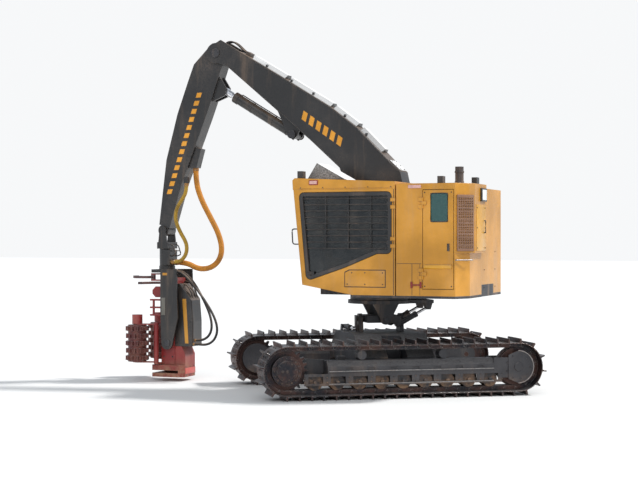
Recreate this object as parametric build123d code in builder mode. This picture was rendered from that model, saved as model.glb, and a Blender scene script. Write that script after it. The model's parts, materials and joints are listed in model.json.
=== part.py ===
"""Forestry processor: a tracked carrier with a levelling upper body, boom, stick and head.

Millimetres. X runs forward along the boom, Y to the machine's left, Z up. The model is
built about the slewing axis with the ground at Z = 0, and moved at the end so that its
origin is the middle of its bounding box on the ground. The tracks are modelled straight
and then turned by TRACK_TURN, because the machine stands with its upper body slewed.
"""
import os
from math import cos, hypot, pi, radians, sin, tan

from build123d import *

os.makedirs("parts", exist_ok=True)

LEFT, RIGHT = 1, -1
SIDE_NAMES = {LEFT: "left", RIGHT: "right"}

# Clearances
SEAT = 0.3            # between faces that seat on each other
PIN_FIT = 1.0         # round a hinge pin
EYE_GAP = 6.0         # beside the eye of a rod
RUN_GAP = 10.0        # between pieces that pass each other

# Tracks
TRACK_TURN = 35.0
TRACK_GAUGE = 2650.0
SHOE_WIDTH = 600.0
SHOE_PITCH = 203.2
SHOE_COUNT = 50
SHOE_JOINT = 6.0
WRAP_RADIUS = 360.0
RAIL_INSIDE = 45.0
RAIL_OUTSIDE = 32.0
RAIL_INNER_Y = 45.0
RAIL_OUTER_Y = 105.0
SHOE_THICKNESS = 14.0
GROUSER_HEIGHT = 72.0
GROUSER_FOOT = 13.0
GROUSER_TIP = 8.0
GROUSER_LIFT = RAIL_OUTSIDE + SHOE_THICKNESS + GROUSER_HEIGHT
AXLE_GAP = (SHOE_COUNT * SHOE_PITCH - 2 * pi * WRAP_RADIUS) / 2
AXLE_HEIGHT = WRAP_RADIUS + GROUSER_LIFT
TREAD_RADIUS = WRAP_RADIUS - RAIL_INSIDE - SEAT

# Sprocket, idler and rollers
SPROCKET_TEETH = 22
TOOTH_TIP = 18.0
TOOTH_ROOT = 38.0
TOOTH_WIDTH = 70.0
HUB_RADIUS = 245.0
HUB_CAP_RADIUS = 170.0
HUB_FACE_Y = 215.0
IDLER_FLANGE = 22.0
IDLER_HUB_RADIUS = 95.0
IDLER_SHAFT_RADIUS = 45.0
ROLLER_COUNT = 9
ROLLER_SPACING = 375.0
ROLLER_RADIUS = 115.0
ROLLER_FLANGE = 13.0
ROLLER_FLANGE_WIDTH = 18.0
ROLLER_SHAFT_RADIUS = 32.0
ROLLER_HEIGHT = AXLE_HEIGHT - WRAP_RADIUS + RAIL_INSIDE + ROLLER_RADIUS + SEAT
CARRIER_RADIUS = 78.0
CARRIER_X = 700.0
CARRIER_HEIGHT = AXLE_HEIGHT + WRAP_RADIUS - RAIL_INSIDE - CARRIER_RADIUS - SEAT

# Track frames
FRAME_HALF_WIDTH = 205.0
FRAME_PLATE = 18.0
FRAME_TOP = 628.0
FRAME_SHOULDER = 540.0
FRAME_SHOULDER_Y = 95.0
FRAME_BELLY = 408.0
FRAME_REAR = -1560.0
FRAME_FRONT = 1300.0
SKIRT_BOTTOM = 232.0
SKIRT_END = 1690.0
SKIRT_WINDOW = (245.0, 108.0)
SKIRT_WINDOW_HEIGHT = 325.0
FACE_SLOT = (120.0, 46.0)
FACE_SLOT_HEIGHT = 495.0
YOKE_BOTTOM = 300.0
YOKE_TOP = 640.0
YOKE_END_RADIUS = 170.0
RUB_RAIL_REACH = 14.0
RUB_RAIL_HEIGHT = 26.0
RUB_RAIL_LEVELS = (SKIRT_BOTTOM + RUB_RAIL_HEIGHT / 2, 452.0)
DRIVE_PLATE_Y = (-205.0, -126.0)
DRIVE_PLATE_RADIUS = 262.0

# Car body
CAR_TOP = 1000.0
CAR_BELLY = 520.0
CAR_HALF_LENGTH = 640.0
CAR_HALF_WIDTH = 640.0
LEG_TOP = 640.0
LEG_BOTTOM = 440.0
LEG_WINDOW = 170.0
TOW_HEIGHT = 560.0
TOW_REACH = 90.0
TOW_RADIUS = 70.0
TOW_BORE_RADIUS = 30.0
TOW_THICKNESS = 50.0

# Leveller: a universal joint between the car body and the slewing platform
PIVOT_HEIGHT = 1230.0
TRUNNION_RADIUS = 45.0
EAR_RADIUS = 90.0
EAR_FOOT = 130.0
EAR_INNER = 330.0
EAR_OUTER = 400.0
CROSS_HALF = 300.0
CROSS_HALF_DEPTH = 62.0
CROSS_WINDOW = 150.0
PLATFORM_BOTTOM = 1500.0
PLATFORM_TOP = 1560.0
PLATFORM_RADIUS = 560.0
PLATFORM_TAIL_X = -880.0
PLATFORM_TAIL_Y = 330.0
PITCH_BASE = (-250.0, 1130.0)
PITCH_EYE = (-800.0, 1430.0)
PITCH_Y = 230.0
ROLL_LEVER_X = 480.0
ROLL_BASE = (-600.0, 1065.0)
ROLL_EYE = (0.0, 1060.0)
LEVEL_BARREL_RADIUS = 50.0
LEVEL_ROD_RADIUS = 26.0
LEVEL_EYE_RADIUS = 40.0
LEVEL_BASE_WIDTH = 102.0
LEVEL_EYE_WIDTH = 50.0
LEVEL_PIN_RADIUS = 20.0
LUG_PLATE = 20.0

# Slewing ring and deck
RING_RADIUS = 520.0
RING_BORE = 380.0
DECK_BOTTOM = 1650.0
DECK_SHELF_TOP = 1690.0
DECK_BOX_TOP = 1850.0
DECK_HALF = 400.0
DECK_FRONT = 960.0
BODY_HALF_WIDTH = 1450.0
MODULE_INNER_Y = 420.0
BODY_REAR = -1930.0
CORNER_START = (-1790.0, BODY_HALF_WIDTH)
CORNER_END = (-2030.0, BODY_HALF_WIDTH - 330.0)
CORNER_FOOT = (-1945.0, BODY_HALF_WIDTH - 330.0)
RIGHT_CORNER_X = -1500.0
RIGHT_CORNER_Y = 550.0 - BODY_HALF_WIDTH
SHELF_FRONT = 750.0

# Cab
CAB_REAR = -770.0
CAB_BEND = (-20.0, 1690.0)
CAB_NOSE = (870.0, 1850.0)
CAB_FRONT_TOP = (1030.0, 3440.0)
CAB_WALL = 55.0
CAB_ROOF_FRONT = 3640.0
CAB_ROOF_REAR = 3560.0
CAB_GLASS = 8.0
DOOR_REAR = -715.0
DOOR_EDGE = ((-460.0, 2370.0), (100.0, 2140.0), (800.0, 1905.0))
DOOR_FRONT_TOP = (940.0, 3400.0)
DOOR_FRAME = 60.0
DOOR_GAP = 8.0
DOOR_THICKNESS = 50.0
DOOR_CORNER = 90.0
RIGHT_WINDOW = ((-600.0, 2300.0), (700.0, 2300.0), (850.0, 3330.0), (-600.0, 3330.0))
FRONT_PANE_Z = (2050.0, 3340.0)
FRONT_PANE_MARGIN = 90.0
ROOF_NOSE = 20.0
ROOF_GUARD_X = (160.0, 870.0)
ROOF_GUARD_PEAK = (700.0, 3900.0)
ROOF_GUARD_Y = (660.0, 1210.0)
GUARD_BAR = 14.0
GUARD_BAR_COUNT = 9

# Door hinges: their pins stand outside the panels
HINGE_RADIUS = 14.0
HINGE_PIN_RADIUS = 7.0
HINGE_REACH = 16.0
HINGE_KNUCKLE = 60.0
DOOR_HINGE = (DOOR_REAR + DOOR_GAP / 2, BODY_HALF_WIDTH + HINGE_REACH)
DOOR_HINGE_Z = (2560.0, 3200.0)

# Rear modules
HOUSE_FRONT = -790.0
HOUSE_TOP = 3520.0
HOUSE_WALL = 40.0
HATCH_X = (-1770.0, -1240.0)
HATCH_Z = (1800.0, 3420.0)
HATCH_WINDOW = (295.0, 470.0)
HATCH_WINDOW_CENTRE = (-1525.0, 3125.0)
HATCH_HINGE = (HATCH_X[1] - DOOR_GAP / 2, BODY_HALF_WIDTH + HINGE_REACH)
HATCH_HINGE_Z = (2050.0, 3200.0)
REAR_TOP = 3470.0
REAR_SHOULDER = 2390.0
GRILLE_Z = (2420.0, 3330.0)
ENGINE_SIZE = (850.0, 1000.0, 950.0)
ENGINE_CENTRE = (-1360.0, -380.0)
EXHAUST_SPOT = (-1250.0, -650.0)
EXHAUST_RADIUS = 75.0
EXHAUST_WALL = 13.0
EXHAUST_HEIGHT = 420.0
TANK_TOP = 2900.0
TANK_X = (-770.0, 750.0)
TANK_CORNER = 60.0
LAMP_SIZE = (90.0, 150.0, 120.0)
CAB_LAMP_X = 940.0
CAB_LAMP_Y = (560.0, 1310.0)
HOUSE_LAMPS = ((-1500.0, 1250.0), (-1880.0, 560.0))

# Boom
BOOM_HALF_WIDTH = 210.0
BOOM_FOOT = (-350.0, 2900.0)
BOOM_TIP = (3100.0, 6000.0)
BOOM_FOOT_RADIUS = 175.0
BOOM_TIP_RADIUS = 185.0
BOOM_PIN_RADIUS = 60.0
FORK_DEPTH = 470.0
HOIST_STUB_RADIUS = 78.0
BOOM_TOP_EDGE = ((3000.0, 6235.0), (2870.0, 6157.0), (1700.0, 5459.0), (850.0, 4940.0),
                 (350.0, 4561.0), (-220.0, 3988.0), (-440.0, 3785.0), (-545.0, 3300.0))
BOOM_BELLY_EDGE = ((-60.0, 2890.0), (150.0, 3240.0), (410.0, 3330.0), (560.0, 3560.0),
                   (680.0, 3870.0), (1200.0, 4340.0), (1920.0, 4952.0), (2890.0, 5768.0))
COVER_FOOT = 150.0
COVER_RIDGE = 75.0
COVER_RISE = 72.0
# stretch of the boom's top edge under each cover: two of its corners and the distances from them
COVER_RUNS = ((2, 1, 60.0, 560.0), (3, 2, 30.0, 40.0), (4, 3, 50.0, 40.0), (5, 4, 200.0, 60.0))
SADDLE_PLACE = 460.0
SADDLE_HEIGHT = 62.0
SADDLE_HALF = 85.0
SADDLE_LENGTH = 90.0
TOWER_INNER = 215.0
TOWER_OUTER = 262.0
HOIST_Y = 342.0
HOIST_BASE = (830.0, 1990.0)
HOIST_EYE = (380.0, 3430.0)
HOIST_BARREL_RADIUS = 64.0
HOIST_ROD_RADIUS = 38.0
STICK_BASE = (1600.0, 4480.0)
STICK_EYE = (2990.0, 5320.0)
STICK_BARREL_RADIUS = 92.0
STICK_ROD_RADIUS = 48.0
ROD_NECK = 95.0
NECK_SHARE = 1.25
EYE_WIDTH = 80.0
PIN_RADIUS = 42.0
EYE_RADIUS = 72.0

# Stick, given along its own axis: distance from the boom tip pin, offset to the front
STICK_LENGTH = 3403.0
STICK_TIP = (4200.0, 2780.0)
STICK_HALF_WIDTH = 150.0
STICK_FRONT = ((-150.0, 150.0), (320.0, 385.0), (670.0, 400.0), (1280.0, 415.0),
               (2150.0, 360.0), (2590.0, 270.0), (3330.0, 115.0))
STICK_REAR = ((3330.0, -105.0), (2500.0, -80.0), (1180.0, -155.0), (900.0, -165.0),
              (180.0, -170.0), (-110.0, -150.0))
STICK_LUG = ((380.0, -165.0), (540.0, -360.0), (690.0, -370.0), (860.0, -165.0))
STICK_EYE_WIDTH = 2 * NECK_SHARE * STICK_ROD_RADIUS + 4
STICK_LUG_PLATE = 35.0
STICK_HEAD_RADIUS = 170.0
STICK_TIP_RADIUS = 105.0
SWING_PIN_RADIUS = 40.0

# Head
HEAD_X = STICK_TIP[0]
HANGER_HALF = 190.0
HANGER_BLOCK_Z = (2440.0, 2560.0)
HANGER_EYE_RADIUS = 75.0
TURN_HEIGHT = 2120.0
ROTATOR_RADIUS = 150.0
ROTATOR_FLANGE = 60.0
BRACKET_PLATE = 60.0
BRACKET_X = (4010.0, 4350.0)
TILT_PIVOT = (4030.0, 705.0)
TILT_ARM_Y = (300.0, 335.0)
TILT_ARM_REAR = 3840.0
TILT_ARM_FRONT = 4165.0
TILT_ARM_KNEE = (3805.0, 1175.0)
TILT_ARM_RADIUS = 115.0
TILT_PIN_RADIUS = 55.0
FRAME_X = (3930.0, 4210.0)
FRAME_Z = (300.3, 1900.0)
HEAD_HALF = 205.0
COVER_HALF = 200.0
COVER_BACK = 3568.0
COVER_Z = (646.0, 1795.0)
SAW_X = (3724.0, 4360.0)
SAW_Z = (79.0, 300.0)
SAW_HALF = 285.0
SAW_REAR_HALF = 200.0
SAW_REAR_CORNER = 106.0
SAW_HUMP_TOP = 645.0
SAW_WALL = 25.0
SAW_SLOT_Z = (150.0, 200.0)
SAW_BAR_Z = (168.0, 182.0)
SAW_BAR_SIZE = (530.0, 90.0)
SAW_PIVOT = (4330.0, -215.0)
SAW_SPINDLE_RADIUS = 18.0
SAW_COLLAR_RADIUS = 40.0
FEED_X = 4594.0
FEED_Y = 425.0
FEED_RADIUS = 170.0
FEED_SPIKE = 45.0
FEED_SPIKE_ROWS = 5
FEED_SPIKES = 12
FEED_PIVOT = (4250.0, 330.0)
FEED_ARM_Z = (345.0, 1060.0)
FEED_ARM_PLATE = 20.0
FEED_PIN_RADIUS = 28.0
FEED_HUB_RADIUS = 45.0
FEED_MOTOR_RADIUS = 95.0
FEED_MOTOR_HEIGHT = 165.0
HEAD_LUG = 25.0
KNIFE_PIVOT = (4360.0, 240.0)
KNIFE_HUB = 90.0
KNIFE_HUB_RADIUS = 44.0
KNIFE_PIN_RADIUS = 24.0
KNIFE_Z = (1870.0, 1745.0)
KNIFE_BLADE = 46.0
THROAT_X = 4400.0
THROAT_Z = (1540.0, 1740.0)
THROAT_HALF = 150.0
THROAT_CORNER = 65.0
SHELF_REACH = 4400.0
SHELF_LEVELS = (1200.0, 1340.0, 1480.0)
SHELF_PLATE = 30.0
SHELF_POST_RADIUS = 22.0
# Left knife's blade: outside from heel to tip, then inside from tip to heel
BLADE_OUTSIDE = ((4345.0, 282.0), (4480.0, 400.0), (4660.0, 372.0), (4790.0, 235.0), (4837.0, 30.0))
BLADE_INSIDE = ((4770.0, 50.0), (4705.0, 215.0), (4610.0, 305.0), (4500.0, 322.0), (4385.0, 222.0))


def outline(points, plane):
    """Closed outline of straight lines through points on a plane."""
    with BuildSketch(plane) as drawn:
        with BuildLine():
            Polyline(*points, close=True)
        make_face()
    return drawn.sketch


def side_slab(points, y_low, y_high, mode=Mode.ADD):
    """Side outline of (x, z) points between two widths."""
    extrude(outline(points, Plane.XZ.offset(-y_high)), amount=y_high - y_low, mode=mode)


def plan_slab(points, z_low, z_high, mode=Mode.ADD):
    """Plan outline of (x, y) points between two heights."""
    extrude(outline(points, Plane.XY.offset(z_low)), amount=z_high - z_low, mode=mode)


def end_slab(points, x_low, x_high, mode=Mode.ADD):
    """End outline of (y, z) points between two places along X."""
    extrude(outline(points, Plane.YZ.offset(x_low)), amount=x_high - x_low, mode=mode)


def block(x_range, y_range, z_range, mode=Mode.ADD):
    """Box given by its limits."""
    corners = ((x_range[0], y_range[0]), (x_range[1], y_range[0]),
               (x_range[1], y_range[1]), (x_range[0], y_range[1]))
    plan_slab(corners, z_range[0], z_range[1], mode)


def bar(start, end, radius, mode=Mode.ADD):
    """Round bar from start to end."""
    reach = Vector(*end) - Vector(*start)
    with BuildSketch(Plane(origin=start, z_dir=reach)) as section:
        Circle(radius)
    extrude(section.sketch, amount=reach.length, mode=mode)


def cross_bar(spot, y_low, y_high, radius, mode=Mode.ADD):
    """Round bar across the machine at an (x, z) spot."""
    bar((spot[0], y_low, spot[1]), (spot[0], y_high, spot[1]), radius, mode)


def upright(spot, z_low, z_high, radius, mode=Mode.ADD):
    """Round upright at an (x, y) spot."""
    bar((spot[0], spot[1], z_low), (spot[0], spot[1], z_high), radius, mode)


def span(y_centre, width):
    """Limits of a width about its middle."""
    return y_centre - width / 2, y_centre + width / 2


def both_sides(y_range, side):
    """A range of Y given for the left, mirrored for the right."""
    return tuple(sorted((side * y_range[0], side * y_range[1])))


def along(start, end, distance):
    """The (x, z) spot at a distance from start towards end."""
    reach = hypot(end[0] - start[0], end[1] - start[1])
    share = distance / reach
    return start[0] + share * (end[0] - start[0]), start[1] + share * (end[1] - start[1])


def ram_barrel(base, eye, y, barrel_radius, rod_radius, barrel_length, eye_size, pin_radius):
    """Barrel of a ram: an eye round its base pin, a tube, and a gland at its mouth."""
    eye_radius, eye_width = eye_size
    tube_start = along(base, eye, eye_radius * 0.8)
    mouth = along(base, eye, barrel_length)
    gland = along(base, eye, barrel_length - barrel_radius)
    bore_start = along(base, eye, eye_radius + barrel_radius * 0.4)
    bar((tube_start[0], y, tube_start[1]), (mouth[0], y, mouth[1]), barrel_radius)
    bar((gland[0], y, gland[1]), (mouth[0], y, mouth[1]), barrel_radius * 1.1)
    cross_bar(base, *span(y, eye_width), eye_radius)
    bar((bore_start[0], y, bore_start[1]), (mouth[0], y, mouth[1]),
        rod_radius + SEAT, Mode.SUBTRACT)
    cross_bar(base, *span(y, eye_width), pin_radius + PIN_FIT, Mode.SUBTRACT)


def ram_rod(base, eye, y, rod_radius, rod_start, eye_size, pin_radius, neck_length=0):
    """Rod of a ram from rod_start along its line to the eye at its far end, with a neck there."""
    eye_radius, eye_width = eye_size
    inner = along(base, eye, rod_start)
    outer = along(eye, base, eye_radius * 0.8)
    neck = along(eye, base, eye_radius + neck_length)
    bar((inner[0], y, inner[1]), (outer[0], y, outer[1]), rod_radius)
    if neck_length:
        bar((neck[0], y, neck[1]), (outer[0], y, outer[1]), rod_radius * NECK_SHARE)
    cross_bar(eye, *span(y, eye_width), eye_radius)
    cross_bar(eye, *span(y, eye_width), pin_radius, Mode.SUBTRACT)


def hinge_fixed(spot, levels, ahead):
    """Knuckles and pins on the fixed side of a door's hinges; ahead is where its strap goes."""
    for level in levels:
        for low in (level - 1.5 * HINGE_KNUCKLE, level + 0.5 * HINGE_KNUCKLE):
            upright(spot, low, low + HINGE_KNUCKLE, HINGE_RADIUS)
            hinge_strap(spot, low, ahead)
        upright(spot, level - HINGE_KNUCKLE, level + HINGE_KNUCKLE, HINGE_PIN_RADIUS)


def hinge_moving(spot, levels, ahead):
    """Knuckles of a door's hinges, bored for their pins."""
    for level in levels:
        low = level - HINGE_KNUCKLE / 2 + SEAT
        upright(spot, low, low + HINGE_KNUCKLE - 2 * SEAT, HINGE_RADIUS)
        hinge_strap(spot, low, ahead, HINGE_KNUCKLE - 2 * SEAT)
        upright(spot, low - 1, low + HINGE_KNUCKLE + 1, HINGE_PIN_RADIUS + PIN_FIT, Mode.SUBTRACT)


def hinge_strap(spot, low, ahead, height=HINGE_KNUCKLE):
    """Strap from a knuckle to the panel behind it."""
    reach = tuple(sorted((spot[0] + ahead * HINGE_PIN_RADIUS * 1.5, spot[0] + ahead * 70)))
    block(reach, (BODY_HALF_WIDTH - 5, spot[1] + 4), (low, low + height))


finished = []


def keep(made, label, turned=False):
    """Label a finished piece and hold it for the export, turned with the tracks or not."""
    solid = made.part.rotate(Axis.Z, TRACK_TURN) if turned else made.part
    solid.label = label
    finished.append(solid)


def chain_point(station, lift):
    """Spot (x, z) outside the chain's pitch line by lift, at a station along it."""
    wrap = pi * WRAP_RADIUS
    station %= 2 * (AXLE_GAP + wrap)
    radius = WRAP_RADIUS + lift
    if station < AXLE_GAP:
        return station - AXLE_GAP / 2, AXLE_HEIGHT - radius
    station -= AXLE_GAP
    if station < wrap:
        turn = station / WRAP_RADIUS
        return AXLE_GAP / 2 + radius * sin(turn), AXLE_HEIGHT - radius * cos(turn)
    station -= wrap
    if station < AXLE_GAP:
        return AXLE_GAP / 2 - station, AXLE_HEIGHT + radius
    turn = (station - AXLE_GAP) / WRAP_RADIUS
    return -AXLE_GAP / 2 - radius * sin(turn), AXLE_HEIGHT + radius * cos(turn)


def shoe_outline():
    """Outer outline of all shoes: a plate, a tall grouser and a joint on each."""
    plate = RAIL_OUTSIDE + SHOE_THICKNESS
    # share of the pitch from the shoe's middle, and lift off the pitch line
    shoe = ((-SHOE_PITCH / 2, RAIL_OUTSIDE + 3), (-SHOE_PITCH / 2 + SHOE_JOINT, plate),
            (-GROUSER_FOOT, plate), (-GROUSER_TIP, GROUSER_LIFT), (GROUSER_TIP, GROUSER_LIFT),
            (GROUSER_FOOT, plate), (SHOE_PITCH / 2 - SHOE_JOINT, plate))
    points = []
    for count in range(SHOE_COUNT):
        middle = (count + 0.5) * SHOE_PITCH
        points += [chain_point(middle + offset, lift) for offset, lift in shoe]
    return points


# Undercarriage
for side, side_name in SIDE_NAMES.items():
    mid_y = side * TRACK_GAUGE / 2
    side_plane = Plane.XZ.offset(-mid_y)

    with BuildPart() as track:
        with BuildSketch(side_plane):
            with BuildLine():
                Polyline(*shoe_outline(), close=True)
            make_face()
            with Locations((0, AXLE_HEIGHT)):
                SlotCenterToCenter(AXLE_GAP, 2 * (WRAP_RADIUS + RAIL_OUTSIDE), mode=Mode.SUBTRACT)
        extrude(amount=SHOE_WIDTH / 2, both=True)
        for rail in (LEFT, RIGHT):
            rail_y = mid_y + rail * (RAIL_INNER_Y + RAIL_OUTER_Y) / 2
            with BuildSketch(Plane.XZ.offset(-rail_y)):
                with Locations((0, AXLE_HEIGHT)):
                    SlotCenterToCenter(AXLE_GAP, 2 * (WRAP_RADIUS + RAIL_OUTSIDE))
                    SlotCenterToCenter(AXLE_GAP, 2 * (WRAP_RADIUS - RAIL_INSIDE),
                                       mode=Mode.SUBTRACT)
            extrude(amount=(RAIL_OUTER_Y - RAIL_INNER_Y) / 2, both=True)
    keep(track, f"track_{side_name}", turned=True)

    with BuildPart() as track_frame:
        box_section = ((-FRAME_HALF_WIDTH, FRAME_BELLY), (-FRAME_HALF_WIDTH, FRAME_SHOULDER),
                       (-FRAME_SHOULDER_Y, FRAME_TOP), (FRAME_SHOULDER_Y, FRAME_TOP),
                       (FRAME_HALF_WIDTH, FRAME_SHOULDER), (FRAME_HALF_WIDTH, FRAME_BELLY))
        end_slab([(mid_y + y, z) for y, z in box_section], FRAME_REAR, FRAME_FRONT)
        for face in (LEFT, RIGHT):
            plate_y = both_sides((FRAME_HALF_WIDTH - FRAME_PLATE, FRAME_HALF_WIDTH), face)
            y_range = (mid_y + plate_y[0], mid_y + plate_y[1])
            block((-SKIRT_END, SKIRT_END), y_range, (SKIRT_BOTTOM, FRAME_BELLY + FRAME_PLATE))
            yoke = ((-AXLE_GAP / 2, YOKE_TOP), (FRAME_REAR + FRAME_PLATE, YOKE_TOP),
                    (FRAME_REAR + FRAME_PLATE, YOKE_BOTTOM), (-AXLE_GAP / 2, YOKE_BOTTOM))
            side_slab(yoke, *y_range)
            cross_bar((-AXLE_GAP / 2, AXLE_HEIGHT), *y_range, YOKE_END_RADIUS)
            for number in range(ROLLER_COUNT):
                roller_x = (number - (ROLLER_COUNT - 1) / 2) * ROLLER_SPACING
                block(span(roller_x, SKIRT_WINDOW[0]), (y_range[0] - 1, y_range[1] + 1),
                      span(SKIRT_WINDOW_HEIGHT, SKIRT_WINDOW[1]), Mode.SUBTRACT)
            cross_bar((-AXLE_GAP / 2, AXLE_HEIGHT), y_range[0] - 1, y_range[1] + 1,
                      IDLER_SHAFT_RADIUS, Mode.SUBTRACT)
        outer = side * FRAME_HALF_WIDTH
        slot_y = tuple(sorted((mid_y + outer + side, mid_y + outer - side * FRAME_PLATE)))
        for number in range(ROLLER_COUNT - 2):
            slot_x = (number - (ROLLER_COUNT - 2) / 2) * ROLLER_SPACING
            block(span(slot_x, FACE_SLOT[0]), slot_y, span(FACE_SLOT_HEIGHT, FACE_SLOT[1]),
                  Mode.SUBTRACT)
        rail_y = both_sides((TRACK_GAUGE / 2 + FRAME_HALF_WIDTH - 1,
                             TRACK_GAUGE / 2 + FRAME_HALF_WIDTH + RUB_RAIL_REACH), side)
        for level in RUB_RAIL_LEVELS:
            block((FRAME_REAR, FRAME_FRONT), rail_y, span(level, RUB_RAIL_HEIGHT))
        inner_plate = both_sides((TRACK_GAUGE / 2 + DRIVE_PLATE_Y[0],
                                  TRACK_GAUGE / 2 + DRIVE_PLATE_Y[1]), side)
        drive_arm = ((FRAME_FRONT - FRAME_PLATE, FRAME_BELLY), (AXLE_GAP / 2, AXLE_HEIGHT - 150),
                     (AXLE_GAP / 2, AXLE_HEIGHT + 190), (FRAME_FRONT - FRAME_PLATE, FRAME_TOP))
        side_slab(drive_arm, *inner_plate)
        cross_bar((AXLE_GAP / 2, AXLE_HEIGHT), *inner_plate, DRIVE_PLATE_RADIUS)
        for carrier_x in (-CARRIER_X, CARRIER_X):
            post = both_sides((TRACK_GAUGE / 2 - RAIL_OUTER_Y - 50, TRACK_GAUGE / 2 - RAIL_OUTER_Y - 12),
                              side)
            block(span(carrier_x, 90), post, (FRAME_SHOULDER - 5, CARRIER_HEIGHT + 40))
    keep(track_frame, f"track_frame_{side_name}", turned=True)

with BuildPart() as sprockets:
    for side in SIDE_NAMES:
        mid_y = side * TRACK_GAUGE / 2
        tooth_turn = 2 * pi / SPROCKET_TEETH
        # share of a tooth's turn, and distance outside the pitch line
        tooth = ((-0.30, -TOOTH_ROOT), (-0.12, TOOTH_TIP), (0.12, TOOTH_TIP), (0.30, -TOOTH_ROOT))
        rim = []
        for count in range(SPROCKET_TEETH):
            for share, reach in tooth:
                turn = (count + share) * tooth_turn
                radius = WRAP_RADIUS + reach
                rim.append((AXLE_GAP / 2 + radius * cos(turn), AXLE_HEIGHT + radius * sin(turn)))
        side_slab(rim, *span(mid_y, TOOTH_WIDTH))
        spot = (AXLE_GAP / 2, AXLE_HEIGHT)
        hub_y = both_sides((TRACK_GAUGE / 2 + DRIVE_PLATE_Y[1] + SEAT,
                            TRACK_GAUGE / 2 + HUB_FACE_Y - 40), side)
        cap_y = both_sides((TRACK_GAUGE / 2, TRACK_GAUGE / 2 + HUB_FACE_Y), side)
        cross_bar(spot, *hub_y, HUB_RADIUS)
        cross_bar(spot, *cap_y, HUB_CAP_RADIUS)
keep(sprockets, "sprockets", turned=True)

with BuildPart() as idlers:
    for side in SIDE_NAMES:
        mid_y = side * TRACK_GAUGE / 2
        spot = (-AXLE_GAP / 2, AXLE_HEIGHT)
        cross_bar(spot, *span(mid_y, 2 * RAIL_OUTER_Y), TREAD_RADIUS)
        cross_bar(spot, *span(mid_y, 2 * RAIL_INNER_Y - 8), TREAD_RADIUS + IDLER_FLANGE)
        cross_bar(spot, *span(mid_y, 2 * (FRAME_HALF_WIDTH - FRAME_PLATE - SEAT)),
                  IDLER_HUB_RADIUS)
        cross_bar(spot, *span(mid_y, 2 * FRAME_HALF_WIDTH), IDLER_SHAFT_RADIUS - SEAT)
keep(idlers, "idlers", turned=True)

with BuildPart() as track_rollers:
    for side in SIDE_NAMES:
        mid_y = side * TRACK_GAUGE / 2
        shaft_half = FRAME_HALF_WIDTH - FRAME_PLATE - SEAT
        for number in range(ROLLER_COUNT):
            roller_x = (number - (ROLLER_COUNT - 1) / 2) * ROLLER_SPACING
            spot = (roller_x, ROLLER_HEIGHT)
            cross_bar(spot, *span(mid_y, 2 * RAIL_OUTER_Y), ROLLER_RADIUS)
            for face in (LEFT, RIGHT):
                flange_y = mid_y + face * (RAIL_OUTER_Y + ROLLER_FLANGE_WIDTH / 2 + SEAT)
                cross_bar(spot, *span(flange_y, ROLLER_FLANGE_WIDTH), ROLLER_RADIUS + ROLLER_FLANGE)
            cross_bar(spot, *span(mid_y, 2 * shaft_half), ROLLER_SHAFT_RADIUS)
        for carrier_x in (-CARRIER_X, CARRIER_X):
            spot = (carrier_x, CARRIER_HEIGHT)
            cross_bar(spot, *span(mid_y, 2 * RAIL_OUTER_Y), CARRIER_RADIUS)
            cross_bar(spot, *both_sides((TRACK_GAUGE / 2 - RAIL_OUTER_Y - 12 + SEAT, TRACK_GAUGE / 2),
                                        side), ROLLER_SHAFT_RADIUS)
keep(track_rollers, "track_rollers", turned=True)

with BuildPart() as car_body:
    leg_end = TRACK_GAUGE / 2 - FRAME_HALF_WIDTH - SEAT
    section = ((-leg_end, LEG_BOTTOM), (-leg_end, LEG_TOP), (-CAR_HALF_WIDTH, CAR_TOP),
               (CAR_HALF_WIDTH, CAR_TOP), (leg_end, LEG_TOP), (leg_end, LEG_BOTTOM),
               (CAR_HALF_WIDTH, CAR_BELLY), (-CAR_HALF_WIDTH, CAR_BELLY))
    end_slab(section, -CAR_HALF_LENGTH, CAR_HALF_LENGTH)
    for side in SIDE_NAMES:
        notch = both_sides((CAR_HALF_WIDTH + 40, leg_end + 1), side)
        block((-LEG_WINDOW, LEG_WINDOW), notch, (LEG_BOTTOM - 1, CAR_TOP + 1), Mode.SUBTRACT)
    for end in (LEFT, RIGHT):
        eye_x = end * (CAR_HALF_LENGTH + TOW_REACH)
        tongue = ((end * (CAR_HALF_LENGTH - 5), -TOW_RADIUS * 1.6), (eye_x, -TOW_RADIUS),
                  (eye_x, TOW_RADIUS), (end * (CAR_HALF_LENGTH - 5), TOW_RADIUS * 1.6))
        eye_z = span(TOW_HEIGHT, TOW_THICKNESS)
        plan_slab(tongue, *eye_z)
        upright((eye_x, 0), *eye_z, TOW_RADIUS)
        upright((eye_x, 0), eye_z[0] - 1, eye_z[1] + 1, TOW_BORE_RADIUS, Mode.SUBTRACT)
keep(car_body, "car_body", turned=True)

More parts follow.
